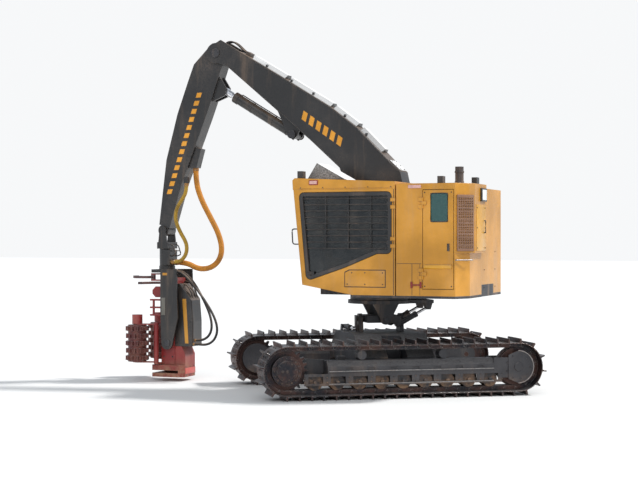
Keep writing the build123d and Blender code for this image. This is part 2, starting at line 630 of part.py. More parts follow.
with BuildPart() as leveller_mounts:
    foot = CAR_TOP + SEAT
    for end in (LEFT, RIGHT):
        ear_x = both_sides((EAR_INNER, EAR_OUTER), end)
        ear = ((-EAR_FOOT, foot), (EAR_FOOT, foot), (EAR_RADIUS, PIVOT_HEIGHT),
               (-EAR_RADIUS, PIVOT_HEIGHT))
        end_slab(ear, *ear_x)
        bar((ear_x[0], 0, PIVOT_HEIGHT), (ear_x[1], 0, PIVOT_HEIGHT), EAR_RADIUS)
        bar((ear_x[0] - 1, 0, PIVOT_HEIGHT), (ear_x[1] + 1, 0, PIVOT_HEIGHT),
            TRUNNION_RADIUS + PIN_FIT, Mode.SUBTRACT)
    roll_lugs = ROLL_LEVER_X + LEVEL_BASE_WIDTH / 2 + LUG_PLATE / 2 + SEAT
    for lug_x in (2 * ROLL_LEVER_X - roll_lugs, roll_lugs):
        lug = ((ROLL_BASE[0] - 70, foot), (ROLL_BASE[0] + 70, foot),
               (ROLL_BASE[0] + LEVEL_EYE_RADIUS, ROLL_BASE[1] + LEVEL_EYE_RADIUS),
               (ROLL_BASE[0] - LEVEL_EYE_RADIUS, ROLL_BASE[1] + LEVEL_EYE_RADIUS))
        end_slab(lug, *span(lug_x, LUG_PLATE))
    bar((ROLL_LEVER_X - 65, ROLL_BASE[0], ROLL_BASE[1]),
        (ROLL_LEVER_X + 65, ROLL_BASE[0], ROLL_BASE[1]), LEVEL_PIN_RADIUS)
keep(leveller_mounts, "leveller_mounts", turned=True)

# Leveller
with BuildPart() as leveller_cross:
    block((-CROSS_HALF, CROSS_HALF), (-CROSS_HALF, CROSS_HALF),
          (PIVOT_HEIGHT - CROSS_HALF_DEPTH, PIVOT_HEIGHT + CROSS_HALF_DEPTH))
    block((-CROSS_WINDOW, CROSS_WINDOW), (-CROSS_WINDOW, CROSS_WINDOW),
          (PIVOT_HEIGHT - 2 * CROSS_HALF_DEPTH, PIVOT_HEIGHT + 2 * CROSS_HALF_DEPTH),
          Mode.SUBTRACT)
    for side in SIDE_NAMES:
        slot = span(side * PITCH_Y, LEVEL_BASE_WIDTH + 2 * SEAT)
        block((-CROSS_HALF - 1, PITCH_BASE[0] + LEVEL_EYE_RADIUS + RUN_GAP), slot,
              (PIVOT_HEIGHT - 2 * CROSS_HALF_DEPTH, PIVOT_HEIGHT + 2 * CROSS_HALF_DEPTH),
              Mode.SUBTRACT)
        cross_bar(PITCH_BASE, *span(side * PITCH_Y, LEVEL_BASE_WIDTH + 2 * LUG_PLATE),
                  LEVEL_PIN_RADIUS)
        for face in (LEFT, RIGHT):
            lug_y = side * PITCH_Y + face * (LEVEL_BASE_WIDTH / 2 + SEAT + LUG_PLATE / 2)
            lug_top = PIVOT_HEIGHT - CROSS_HALF_DEPTH + 5
            lug = ((-CROSS_HALF, lug_top), (PITCH_BASE[0] + 80, lug_top),
                   (PITCH_BASE[0] + LEVEL_EYE_RADIUS, PITCH_BASE[1]),
                   (PITCH_BASE[0], PITCH_BASE[1] - LEVEL_EYE_RADIUS),
                   (PITCH_BASE[0] - LEVEL_EYE_RADIUS, PITCH_BASE[1]))
            side_slab(lug, *span(lug_y, LUG_PLATE))
        trunnion = both_sides((CROSS_HALF - 5, EAR_OUTER + 12), side)
        bar((0, trunnion[0], PIVOT_HEIGHT), (0, trunnion[1], PIVOT_HEIGHT), TRUNNION_RADIUS)
    bar((-EAR_OUTER - 12, 0, PIVOT_HEIGHT), (-CROSS_HALF + 5, 0, PIVOT_HEIGHT), TRUNNION_RADIUS)
    lever_inner = ROLL_LEVER_X - LEVEL_EYE_WIDTH / 2 - EYE_GAP
    bar((CROSS_HALF - 5, 0, PIVOT_HEIGHT), (lever_inner, 0, PIVOT_HEIGHT), TRUNNION_RADIUS)
    lever = ((-TRUNNION_RADIUS - 12, PIVOT_HEIGHT + 62), (TRUNNION_RADIUS + 12, PIVOT_HEIGHT + 62),
             (LEVEL_EYE_RADIUS, ROLL_EYE[1] - LEVEL_EYE_RADIUS),
             (-LEVEL_EYE_RADIUS, ROLL_EYE[1] - LEVEL_EYE_RADIUS))
    end_slab(lever, lever_inner - LUG_PLATE, lever_inner)
keep(leveller_cross, "leveller_cross", turned=True)

with BuildPart() as leveller_platform:
    upright((0, 0), PLATFORM_BOTTOM, PLATFORM_TOP, PLATFORM_RADIUS)
    block((PLATFORM_TAIL_X, 0), (-PLATFORM_TAIL_Y, PLATFORM_TAIL_Y),
          (PLATFORM_BOTTOM, PLATFORM_TOP))
    for side in SIDE_NAMES:
        ear_y = both_sides((EAR_INNER, EAR_OUTER), side)
        ear = ((-230, PLATFORM_BOTTOM + 5), (230, PLATFORM_BOTTOM + 5),
               (EAR_RADIUS, PIVOT_HEIGHT), (-EAR_RADIUS, PIVOT_HEIGHT))
        side_slab(ear, *ear_y)
        cross_bar((0, PIVOT_HEIGHT), *ear_y, EAR_RADIUS)
        cross_bar((0, PIVOT_HEIGHT), ear_y[0] - 1, ear_y[1] + 1, TRUNNION_RADIUS + PIN_FIT,
                  Mode.SUBTRACT)
        for face in (LEFT, RIGHT):
            lug_y = side * PITCH_Y + face * (LEVEL_EYE_WIDTH / 2 + EYE_GAP + LUG_PLATE / 2)
            lug = ((PITCH_EYE[0] - 75, PLATFORM_BOTTOM + 5), (PITCH_EYE[0] + 75, PLATFORM_BOTTOM + 5),
                   (PITCH_EYE[0] + LEVEL_EYE_RADIUS, PITCH_EYE[1] - LEVEL_EYE_RADIUS),
                   (PITCH_EYE[0] - LEVEL_EYE_RADIUS, PITCH_EYE[1] - LEVEL_EYE_RADIUS))
            side_slab(lug, *span(lug_y, LUG_PLATE))
keep(leveller_platform, "leveller_platform", turned=True)

with BuildPart() as slewing_ring:
    upright((0, 0), PLATFORM_TOP + SEAT, DECK_BOTTOM - SEAT, RING_RADIUS)
    upright((0, 0), PLATFORM_TOP, DECK_BOTTOM, RING_BORE, Mode.SUBTRACT)
keep(slewing_ring, "slewing_ring", turned=True)

LEVEL_EYE = (LEVEL_EYE_RADIUS, LEVEL_EYE_WIDTH)
LEVEL_BASE_EYE = (LEVEL_EYE_RADIUS, LEVEL_BASE_WIDTH)
PITCH_BARREL_LENGTH = 395.0
PITCH_ROD_START = 230.0
ROLL_BARREL_LENGTH = 400.0
ROLL_ROD_START = 210.0

with BuildPart() as pitch_barrels:
    for side in SIDE_NAMES:
        ram_barrel(PITCH_BASE, PITCH_EYE, side * PITCH_Y, LEVEL_BARREL_RADIUS,
                   LEVEL_ROD_RADIUS, PITCH_BARREL_LENGTH, LEVEL_BASE_EYE, LEVEL_PIN_RADIUS)
keep(pitch_barrels, "pitch_ram_barrels", turned=True)

with BuildPart() as pitch_rods:
    for side in SIDE_NAMES:
        ram_rod(PITCH_BASE, PITCH_EYE, side * PITCH_Y, LEVEL_ROD_RADIUS, PITCH_ROD_START,
                LEVEL_EYE, LEVEL_PIN_RADIUS)
keep(pitch_rods, "pitch_ram_rods", turned=True)

# The roll ram lies across the tracks: it is made along X and turned a quarter
QUARTER = 90.0
roll_base = (ROLL_BASE[0], ROLL_BASE[1])
roll_eye = (ROLL_EYE[0], ROLL_EYE[1])
with BuildPart() as roll_barrel_flat:
    ram_barrel(roll_base, roll_eye, -ROLL_LEVER_X, LEVEL_BARREL_RADIUS - 6, LEVEL_ROD_RADIUS,
               ROLL_BARREL_LENGTH, LEVEL_BASE_EYE, LEVEL_PIN_RADIUS)
with BuildPart() as roll_barrel:
    add(roll_barrel_flat.part.rotate(Axis.Z, QUARTER))
keep(roll_barrel, "roll_ram_barrel", turned=True)

with BuildPart() as roll_rod_flat:
    ram_rod(roll_base, roll_eye, -ROLL_LEVER_X, LEVEL_ROD_RADIUS, ROLL_ROD_START, LEVEL_EYE,
            LEVEL_PIN_RADIUS)
with BuildPart() as roll_rod:
    add(roll_rod_flat.part.rotate(Axis.Z, QUARTER))
keep(roll_rod, "roll_ram_rod", turned=True)

# Upper body
with BuildPart() as deck:
    block((BODY_REAR, DECK_FRONT), (-DECK_HALF, DECK_HALF), (DECK_BOTTOM, DECK_BOX_TOP))
    shelf = (CORNER_START, CORNER_FOOT, (CORNER_FOOT[0], MODULE_INNER_Y), (BODY_REAR, DECK_HALF),
             (BODY_REAR, RIGHT_CORNER_Y), (RIGHT_CORNER_X, -BODY_HALF_WIDTH),
             (SHELF_FRONT, -BODY_HALF_WIDTH),
             (SHELF_FRONT, -DECK_HALF), (CAB_BEND[0], DECK_HALF), (CAB_BEND[0], BODY_HALF_WIDTH))
    plan_slab(shelf, DECK_BOTTOM, DECK_SHELF_TOP)
    tower = ((-720, DECK_BOX_TOP - 5), (DECK_FRONT - 20, DECK_BOX_TOP - 5),
             (DECK_FRONT - 20, HOIST_BASE[1] + 60), (HOIST_BASE[0] - 60, HOIST_BASE[1] + 110),
             (120, 2350), (BOOM_FOOT[0] + 190, BOOM_FOOT[1] + 40),
             (BOOM_FOOT[0] + 110, BOOM_FOOT[1] + 170), (BOOM_FOOT[0] - 110, BOOM_FOOT[1] + 170),
             (BOOM_FOOT[0] - 190, BOOM_FOOT[1] + 40), (-640, 2300))
    for side in SIDE_NAMES:
        cheek = both_sides((TOWER_INNER, TOWER_OUTER), side)
        side_slab(tower, *cheek)
        cross_bar(HOIST_BASE, *both_sides((TOWER_INNER, DECK_HALF - 4), side), PIN_RADIUS)
    cross_bar(BOOM_FOOT, -TOWER_OUTER - 10, TOWER_OUTER + 10, BOOM_PIN_RADIUS)
keep(deck, "deck_frame")

CAB_PROFILE = ((CAB_REAR, DECK_SHELF_TOP), CAB_BEND, CAB_NOSE, CAB_FRONT_TOP,
               (CAB_REAR, CAB_FRONT_TOP[1]))
DOOR_PROFILE = ((DOOR_REAR, DOOR_EDGE[0][1]), *DOOR_EDGE, DOOR_FRONT_TOP,
                (DOOR_REAR, DOOR_FRONT_TOP[1]))


def door_face(y, inset):
    """Outline of the cab door at a width, drawn in by an inset all round."""
    with BuildSketch(Plane.XZ.offset(-y)) as drawn:
        with BuildLine():
            Polyline(*DOOR_PROFILE, close=True)
        make_face()
        fillet(drawn.vertices(), radius=DOOR_CORNER)
        if inset:
            offset(amount=-inset, kind=Kind.INTERSECTION)
    return drawn.sketch


with BuildPart() as cab_shell:
    side_slab(CAB_PROFILE, MODULE_INNER_Y, BODY_HALF_WIDTH)
    with BuildSketch(Plane.XZ.offset(-BODY_HALF_WIDTH + CAB_WALL)):
        with BuildLine():
            Polyline(*CAB_PROFILE, close=True)
        make_face()
        offset(amount=-CAB_WALL, kind=Kind.INTERSECTION)
    extrude(amount=BODY_HALF_WIDTH - MODULE_INNER_Y - 2 * CAB_WALL, mode=Mode.SUBTRACT)
    extrude(door_face(BODY_HALF_WIDTH + 1, 0), amount=CAB_WALL + 2, mode=Mode.SUBTRACT)
    side_slab(RIGHT_WINDOW, MODULE_INNER_Y - 1, MODULE_INNER_Y + CAB_WALL + 1, Mode.SUBTRACT)
    pane_y = (MODULE_INNER_Y + FRONT_PANE_MARGIN, BODY_HALF_WIDTH - FRONT_PANE_MARGIN)
    block((CAB_NOSE[0] - 60, CAB_FRONT_TOP[0] + 20), pane_y, FRONT_PANE_Z, Mode.SUBTRACT)
    hinge_fixed(DOOR_HINGE, DOOR_HINGE_Z, -1)
keep(cab_shell, "cab_shell")

with BuildPart() as cab_roof:
    roof_low = CAB_FRONT_TOP[1] + SEAT
    roof = ((CAB_REAR, roof_low), (CAB_FRONT_TOP[0] + ROOF_NOSE / 2, roof_low),
            (CAB_FRONT_TOP[0] + ROOF_NOSE, CAB_ROOF_FRONT - 2 * ROOF_NOSE),
            (CAB_FRONT_TOP[0] - ROOF_NOSE, CAB_ROOF_FRONT), (CAB_REAR, CAB_ROOF_REAR))
    side_slab(roof, MODULE_INNER_Y, BODY_HALF_WIDTH)
keep(cab_roof, "cab_roof")


def roof_height(x):
    """Height of the cab roof's top face at an X."""
    rise = (CAB_ROOF_FRONT - CAB_ROOF_REAR) / (CAB_FRONT_TOP[0] - ROOF_NOSE - CAB_REAR)
    return CAB_ROOF_REAR + rise * (x - CAB_REAR)


with BuildPart() as roof_guard:
    wedge = [(x, roof_height(x) + SEAT) for x in ROOF_GUARD_X] + [ROOF_GUARD_PEAK]
    side_slab(wedge, *ROOF_GUARD_Y)
keep(roof_guard, "roof_guard")

with BuildPart() as cab_windows:
    side_slab(RIGHT_WINDOW, MODULE_INNER_Y + 20, MODULE_INNER_Y + 20 + CAB_GLASS)
    lean = (CAB_FRONT_TOP[0] - CAB_NOSE[0]) / (CAB_FRONT_TOP[1] - CAB_NOSE[1])
    low, high = FRONT_PANE_Z
    pane_low = CAB_NOSE[0] + lean * (low - CAB_NOSE[1]) - 30
    pane_high = CAB_NOSE[0] + lean * (high - CAB_NOSE[1]) - 30
    pane = ((pane_low, low), (pane_high, high), (pane_high - CAB_GLASS, high), (pane_low - CAB_GLASS, low))
    side_slab(pane, *pane_y)
keep(cab_windows, "cab_windows")

with BuildPart() as operator_seat:
    seat_y = (MODULE_INNER_Y + BODY_HALF_WIDTH) / 2
    block((-420, -60), span(seat_y, 420), (CAB_BEND[1] + CAB_WALL + SEAT, 2100))
    cushion = ((-460, 2095), (120, 2095), (130, 2200), (-300, 2215), (-410, 2900), (-520, 2900),
               (-510, 2200))
    side_slab(cushion, *span(seat_y, 500))
    for side in SIDE_NAMES:
        rest_y = seat_y + side * 300
        block((-280, 200), span(rest_y, 110), (2270, 2340))
        block((-280, -180), span(rest_y - side * 60, 130), (2130, 2280))
keep(operator_seat, "operator_seat")

with BuildPart() as cab_door:
    extrude(door_face(BODY_HALF_WIDTH, DOOR_GAP), amount=DOOR_THICKNESS)
    extrude(door_face(BODY_HALF_WIDTH, DOOR_GAP + DOOR_FRAME), amount=DOOR_THICKNESS,
            mode=Mode.SUBTRACT)
    hinge_moving(DOOR_HINGE, DOOR_HINGE_Z, 1)
keep(cab_door, "cab_door")

with BuildPart() as door_glass:
    extrude(door_face(BODY_HALF_WIDTH - DOOR_THICKNESS + CAB_GLASS, DOOR_GAP + DOOR_FRAME + SEAT),
            amount=CAB_GLASS)
keep(door_glass, "door_glass")

with BuildPart() as door_guard:
    rise = (DOOR_FRONT_TOP[0] - DOOR_EDGE[2][0]) / (DOOR_FRONT_TOP[1] - DOOR_EDGE[2][1])
    guard_low = DOOR_EDGE[0][1] + 90
    for number in range(GUARD_BAR_COUNT):
        level = guard_low + number * (DOOR_FRONT_TOP[1] - 110 - guard_low) / (GUARD_BAR_COUNT - 1)
        front = DOOR_EDGE[2][0] + rise * (level - DOOR_EDGE[2][1]) - DOOR_GAP - DOOR_FRAME - 1
        bar((DOOR_REAR + DOOR_GAP + DOOR_FRAME + 1, BODY_HALF_WIDTH - 18, level),
            (front, BODY_HALF_WIDTH - 18, level), GUARD_BAR / 2)
    for post_x in (-350, 50, 450):
        bar((post_x, BODY_HALF_WIDTH - 18, guard_low - 10),
            (post_x, BODY_HALF_WIDTH - 18, DOOR_FRONT_TOP[1] - DOOR_GAP - DOOR_FRAME - 1),
            GUARD_BAR / 2)
keep(door_guard, "door_guard")

# Rear modules
def house_plan(rear_corner, inset, level):
    """Plan of the engine house with a rear corner, drawn in by an inset, at a height."""
    with BuildSketch(Plane.XY.offset(level)) as drawn:
        with BuildLine():
            Polyline((HOUSE_FRONT, MODULE_INNER_Y), (HOUSE_FRONT, BODY_HALF_WIDTH), CORNER_START,
                     rear_corner, (rear_corner[0], MODULE_INNER_Y), close=True)
        make_face()
        if inset:
            offset(amount=-inset, kind=Kind.INTERSECTION)
    return drawn.sketch


with BuildPart() as engine_house:
    extrude(house_plan(CORNER_FOOT, 0, DECK_SHELF_TOP), amount=REAR_SHOULDER - DECK_SHELF_TOP)
    extrude(house_plan(CORNER_END, 0, REAR_SHOULDER), amount=HOUSE_TOP - REAR_SHOULDER)
    extrude(house_plan(CORNER_FOOT, HOUSE_WALL, DECK_SHELF_TOP - 1),
            amount=HOUSE_TOP - HOUSE_WALL - DECK_SHELF_TOP + 1, mode=Mode.SUBTRACT)
    upper_floor = REAR_SHOULDER + HOUSE_WALL
    extrude(house_plan(CORNER_END, HOUSE_WALL, upper_floor),
            amount=HOUSE_TOP - HOUSE_WALL - upper_floor, mode=Mode.SUBTRACT)
    block(HATCH_X, (BODY_HALF_WIDTH - HOUSE_WALL - 1, BODY_HALF_WIDTH + 1), HATCH_Z,
          Mode.SUBTRACT)
    hinge_fixed(HATCH_HINGE, HATCH_HINGE_Z, 1)
keep(engine_house, "engine_house")

with BuildPart() as house_door:
    block((HATCH_X[0] + DOOR_GAP, HATCH_X[1] - DOOR_GAP),
          (BODY_HALF_WIDTH - HOUSE_WALL, BODY_HALF_WIDTH),
          (HATCH_Z[0] + DOOR_GAP, HATCH_Z[1] - DOOR_GAP))
    block(span(HATCH_WINDOW_CENTRE[0], HATCH_WINDOW[0]),
          (BODY_HALF_WIDTH - 12, BODY_HALF_WIDTH + 1),
          span(HATCH_WINDOW_CENTRE[1], HATCH_WINDOW[1]), Mode.SUBTRACT)
    hinge_moving(HATCH_HINGE, HATCH_HINGE_Z, -1)
keep(house_door, "house_door")

with BuildPart() as corner_grille:
    run = (CORNER_END[0] - CORNER_START[0], CORNER_END[1] - CORNER_START[1])
    length = hypot(*run)
    ahead = (run[0] / length, run[1] / length)
    plane = Plane(origin=(CORNER_START[0] + ahead[0] * length / 2,
                          CORNER_START[1] + ahead[1] * length / 2, sum(GRILLE_Z) / 2),
                  x_dir=(ahead[0], ahead[1], 0), z_dir=(-ahead[1], ahead[0], 0))
    outward = 1 if plane.z_dir.X < 0 else -1
    with BuildSketch(plane):
        Rectangle(length - 70, GRILLE_Z[1] - GRILLE_Z[0])
        with GridLocations(44, 60, 7, 14):
            Rectangle(34, 48, mode=Mode.SUBTRACT)
    extrude(amount=outward * 18)
keep(corner_grille, "corner_grille")

with BuildPart() as rear_housing:
    right_corner = ((BODY_REAR, RIGHT_CORNER_Y), (RIGHT_CORNER_X, -BODY_HALF_WIDTH))
    rear_plan = ((HOUSE_FRONT, DECK_HALF), (BODY_REAR, DECK_HALF), *right_corner,
                 (HOUSE_FRONT, -BODY_HALF_WIDTH))
    plan_slab(rear_plan, DECK_BOX_TOP, REAR_TOP)
    with BuildSketch(Plane.XY.offset(DECK_BOX_TOP - 1)):
        with BuildLine():
            Polyline(*rear_plan, close=True)
        make_face()
        offset(amount=-HOUSE_WALL, kind=Kind.INTERSECTION)
    extrude(amount=REAR_TOP - HOUSE_WALL - DECK_BOX_TOP + 1, mode=Mode.SUBTRACT)
    sill = ((HOUSE_FRONT, -DECK_HALF), (BODY_REAR, -DECK_HALF), *right_corner,
            (HOUSE_FRONT, -BODY_HALF_WIDTH))
    plan_slab(sill, DECK_SHELF_TOP, DECK_BOX_TOP)
keep(rear_housing, "rear_housing")

with BuildPart() as engine_block:
    block(span(ENGINE_CENTRE[0], ENGINE_SIZE[0]), span(ENGINE_CENTRE[1], ENGINE_SIZE[1]),
          (DECK_BOX_TOP + SEAT, DECK_BOX_TOP + ENGINE_SIZE[2]))
keep(engine_block, "engine_block")

with BuildPart() as tank_module:
    block(TANK_X, (-BODY_HALF_WIDTH, -MODULE_INNER_Y), (DECK_SHELF_TOP, TANK_TOP))
    fillet(tank_module.edges().filter_by(Axis.Z), radius=TANK_CORNER)
keep(tank_module, "tank_module")

with BuildPart() as exhaust_stack:
    upright(EXHAUST_SPOT, REAR_TOP + SEAT, REAR_TOP + EXHAUST_HEIGHT, EXHAUST_RADIUS)
    upright(EXHAUST_SPOT, REAR_TOP + EXHAUST_WALL, REAR_TOP + EXHAUST_HEIGHT + 1,
            EXHAUST_RADIUS - EXHAUST_WALL, Mode.SUBTRACT)
keep(exhaust_stack, "exhaust_stack")

with BuildPart() as lamps:
    cab_level = roof_height(CAB_LAMP_X + LAMP_SIZE[0] / 2)
    spots = [(CAB_LAMP_X, y, cab_level) for y in CAB_LAMP_Y] + [(*spot, HOUSE_TOP) for spot in HOUSE_LAMPS]
    for lamp_x, lamp_y, lamp_z in spots:
        block(span(lamp_x, LAMP_SIZE[0]), span(lamp_y, LAMP_SIZE[1]),
              (lamp_z + SEAT, lamp_z + LAMP_SIZE[2]))
keep(lamps, "lamps")

# Boom and its rams
with BuildPart() as main_boom:
    foot_arc = BOOM_FOOT_RADIUS
    boom_points = ((BOOM_FOOT[0], BOOM_FOOT[1] - foot_arc * 0.6), *BOOM_BELLY_EDGE,
                   (BOOM_TIP[0] + 60, BOOM_TIP[1] - BOOM_TIP_RADIUS * 0.8),
                   (BOOM_TIP[0] + 60, BOOM_TIP[1] + BOOM_TIP_RADIUS * 0.8), *BOOM_TOP_EDGE,
                   (BOOM_FOOT[0] - foot_arc, BOOM_FOOT[1]))
    side_slab(boom_points, -BOOM_HALF_WIDTH, BOOM_HALF_WIDTH)
    cross_bar(BOOM_FOOT, -BOOM_HALF_WIDTH, BOOM_HALF_WIDTH, BOOM_FOOT_RADIUS)
    cross_bar(BOOM_TIP, -BOOM_HALF_WIDTH, BOOM_HALF_WIDTH, BOOM_TIP_RADIUS)
    stick_room = STICK_HALF_WIDTH + EYE_GAP
    cross_bar(BOOM_TIP, -stick_room, stick_room, FORK_DEPTH, Mode.SUBTRACT)
    cross_bar(BOOM_TIP, -BOOM_HALF_WIDTH - 20, BOOM_HALF_WIDTH + 20, BOOM_PIN_RADIUS)
    cross_bar(BOOM_FOOT, -BOOM_HALF_WIDTH - 1, BOOM_HALF_WIDTH + 1, BOOM_PIN_RADIUS + PIN_FIT,
              Mode.SUBTRACT)
    lug = ((STICK_BASE[0] - 200, 4790), (STICK_BASE[0] - 90, STICK_BASE[1] - 20),
           (STICK_BASE[0], STICK_BASE[1] - 95), (STICK_BASE[0] + 90, STICK_BASE[1] - 20),
           (STICK_BASE[0] + 330, 4990))
    for side in SIDE_NAMES:
        side_slab(lug, *both_sides((EYE_WIDTH / 2 + SEAT + 60, EYE_WIDTH / 2 + SEAT + 100), side))
        cross_bar(HOIST_EYE, *both_sides((BOOM_HALF_WIDTH - 5, HOIST_Y - EYE_WIDTH / 2 - EYE_GAP),
                                         side), HOIST_STUB_RADIUS)
    cross_bar(STICK_BASE, -140, 140, PIN_RADIUS)
keep(main_boom, "main_boom")


def boom_cover(start, end):
    """Roof-shaped hose cover along the boom's top edge, between two (x, z) spots."""
    reach = hypot(end[0] - start[0], end[1] - start[1])
    ahead = ((end[0] - start[0]) / reach, (end[1] - start[1]) / reach)
    lifted = (start[0] - SEAT * ahead[1], start[1] + SEAT * ahead[0])
    plane = Plane(origin=(lifted[0], 0, lifted[1]), x_dir=(0, 1, 0), z_dir=(ahead[0], 0, ahead[1]))
    rise = COVER_RISE if plane.y_dir.Z > 0 else -COVER_RISE
    section = ((-COVER_FOOT, 0), (COVER_FOOT, 0), (COVER_RIDGE, rise), (-COVER_RIDGE, rise))
    extrude(outline(section, plane), amount=reach)


with BuildPart() as boom_covers:
    for first, last, from_first, to_last in COVER_RUNS:
        low_spot, high_spot = BOOM_TOP_EDGE[first], BOOM_TOP_EDGE[last]
        boom_cover(along(low_spot, high_spot, from_first), along(high_spot, low_spot, to_last))
keep(boom_covers, "boom_covers")

with BuildPart() as hose_saddle:
    foot_spot = along(BOOM_TOP_EDGE[1], BOOM_TOP_EDGE[2], SADDLE_PLACE)
    saddle_plane = Plane(origin=(foot_spot[0] - SEAT, 0, foot_spot[1] + SEAT), x_dir=(0, 1, 0),
                         z_dir=(BOOM_TOP_EDGE[1][0] - foot_spot[0], 0,
                                BOOM_TOP_EDGE[1][1] - foot_spot[1]))
    lift = SADDLE_HEIGHT if saddle_plane.y_dir.Z > 0 else -SADDLE_HEIGHT
    saddle = ((-SADDLE_HALF, 0), (SADDLE_HALF, 0), (SADDLE_HALF, lift), (-SADDLE_HALF, lift))
    extrude(outline(saddle, saddle_plane), amount=SADDLE_LENGTH)
keep(hose_saddle, "hose_saddle")

MAIN_EYE = (EYE_RADIUS, EYE_WIDTH)
HOIST_BARREL_LENGTH = 1190.0
HOIST_ROD_START = 620.0
STICK_BARREL_LENGTH = 1400.0
STICK_ROD_START = 560.0

with BuildPart() as hoist_barrels:
    for side in SIDE_NAMES:
        ram_barrel(HOIST_BASE, HOIST_EYE, side * HOIST_Y, HOIST_BARREL_RADIUS, HOIST_ROD_RADIUS,
                   HOIST_BARREL_LENGTH, MAIN_EYE, PIN_RADIUS)
keep(hoist_barrels, "hoist_ram_barrels")

with BuildPart() as hoist_rods:
    for side in SIDE_NAMES:
        ram_rod(HOIST_BASE, HOIST_EYE, side * HOIST_Y, HOIST_ROD_RADIUS, HOIST_ROD_START,
                MAIN_EYE, PIN_RADIUS)
keep(hoist_rods, "hoist_ram_rods")

with BuildPart() as stick_barrel:
    ram_barrel(STICK_BASE, STICK_EYE, 0, STICK_BARREL_RADIUS, STICK_ROD_RADIUS,
               STICK_BARREL_LENGTH, (EYE_RADIUS, 190), PIN_RADIUS)
keep(stick_barrel, "stick_ram_barrel")

with BuildPart() as stick_rod:
    ram_rod(STICK_BASE, STICK_EYE, 0, STICK_ROD_RADIUS, STICK_ROD_START,
            (EYE_RADIUS, STICK_EYE_WIDTH), PIN_RADIUS, ROD_NECK)
keep(stick_rod, "stick_ram_rod")

# Stick
STICK_DOWN = ((STICK_TIP[0] - BOOM_TIP[0]) / STICK_LENGTH, (STICK_TIP[1] - BOOM_TIP[1]) / STICK_LENGTH)
STICK_AHEAD = (-STICK_DOWN[1], STICK_DOWN[0])


def stick_spot(distance, ahead):
    """Spot (x, z) on the stick from its own distance and offset."""
    return (BOOM_TIP[0] + distance * STICK_DOWN[0] + ahead * STICK_AHEAD[0],
            BOOM_TIP[1] + distance * STICK_DOWN[1] + ahead * STICK_AHEAD[1])


with BuildPart() as stick:
    stick_points = [stick_spot(*spot) for spot in STICK_FRONT + STICK_REAR]
    side_slab(stick_points, -STICK_HALF_WIDTH, STICK_HALF_WIDTH)
    cross_bar(STICK_TIP, -STICK_HALF_WIDTH, STICK_HALF_WIDTH, STICK_TIP_RADIUS)
    cross_bar(BOOM_TIP, -STICK_HALF_WIDTH, STICK_HALF_WIDTH, STICK_HEAD_RADIUS)
    cross_bar(BOOM_TIP, -STICK_HALF_WIDTH - 1, STICK_HALF_WIDTH + 1, BOOM_PIN_RADIUS + PIN_FIT,
              Mode.SUBTRACT)
    eye_lug = [stick_spot(*spot) for spot in STICK_LUG]
    for side in SIDE_NAMES:
        lug_y = STICK_EYE_WIDTH / 2 + EYE_GAP
        side_slab(eye_lug, *both_sides((lug_y, lug_y + STICK_LUG_PLATE), side))
    cross_bar(STICK_TIP, -HANGER_HALF, HANGER_HALF, SWING_PIN_RADIUS)
keep(stick, "stick")

# Head
with BuildPart() as head_hanger:
    for side in SIDE_NAMES:
        cheek = both_sides((STICK_HALF_WIDTH + EYE_GAP, HANGER_HALF), side)
        link = ((HEAD_X - 90, HANGER_BLOCK_Z[1] - 40), (HEAD_X + 90, HANGER_BLOCK_Z[1] - 40),
                (HEAD_X + 62, STICK_TIP[1]), (HEAD_X - 62, STICK_TIP[1]))
        side_slab(link, *cheek)
        cross_bar(STICK_TIP, *cheek, HANGER_EYE_RADIUS)
        cross_bar(STICK_TIP, cheek[0] - 1, cheek[1] + 1, SWING_PIN_RADIUS + PIN_FIT, Mode.SUBTRACT)
    block(span(HEAD_X, 220), (-HANGER_HALF, HANGER_HALF), HANGER_BLOCK_Z)
    upright((HEAD_X, 0), TURN_HEIGHT, HANGER_BLOCK_Z[0] + 10, ROTATOR_RADIUS - 10)
    block((HEAD_X - ROTATOR_RADIUS, HEAD_X), (-110, HANGER_HALF),
          (TURN_HEIGHT + 20, HANGER_BLOCK_Z[0] - 20))
keep(head_hanger, "head_hanger")

PLATE_TOP = TURN_HEIGHT - ROTATOR_FLANGE
PLATE_BOTTOM = PLATE_TOP - BRACKET_PLATE

with BuildPart() as tilt_bracket:
    upright((HEAD_X, 0), PLATE_TOP - 5, TURN_HEIGHT - SEAT, ROTATOR_RADIUS)
    block(BRACKET_X, (-TILT_ARM_Y[1], TILT_ARM_Y[1]), (PLATE_BOTTOM, PLATE_TOP))
    for side in SIDE_NAMES:
        arm_y = both_sides(TILT_ARM_Y, side)
        arm = ((TILT_ARM_REAR, PLATE_TOP), (TILT_ARM_FRONT, PLATE_TOP),
               (TILT_ARM_FRONT, TILT_ARM_KNEE[1]), (TILT_PIVOT[0] + TILT_ARM_RADIUS, TILT_PIVOT[1]),
               (TILT_PIVOT[0] - TILT_ARM_RADIUS, TILT_PIVOT[1]), TILT_ARM_KNEE)
        side_slab(arm, *arm_y)
        cross_bar(TILT_PIVOT, *arm_y, TILT_ARM_RADIUS)
        cross_bar(TILT_PIVOT, arm_y[0] - 1, arm_y[1] + 1, TILT_PIN_RADIUS + PIN_FIT, Mode.SUBTRACT)
keep(tilt_bracket, "tilt_bracket")


def knife_level(side):
    """Underside of a knife's hub: the left knife works above the right one."""
    return KNIFE_Z[0] if side == LEFT else KNIFE_Z[1]


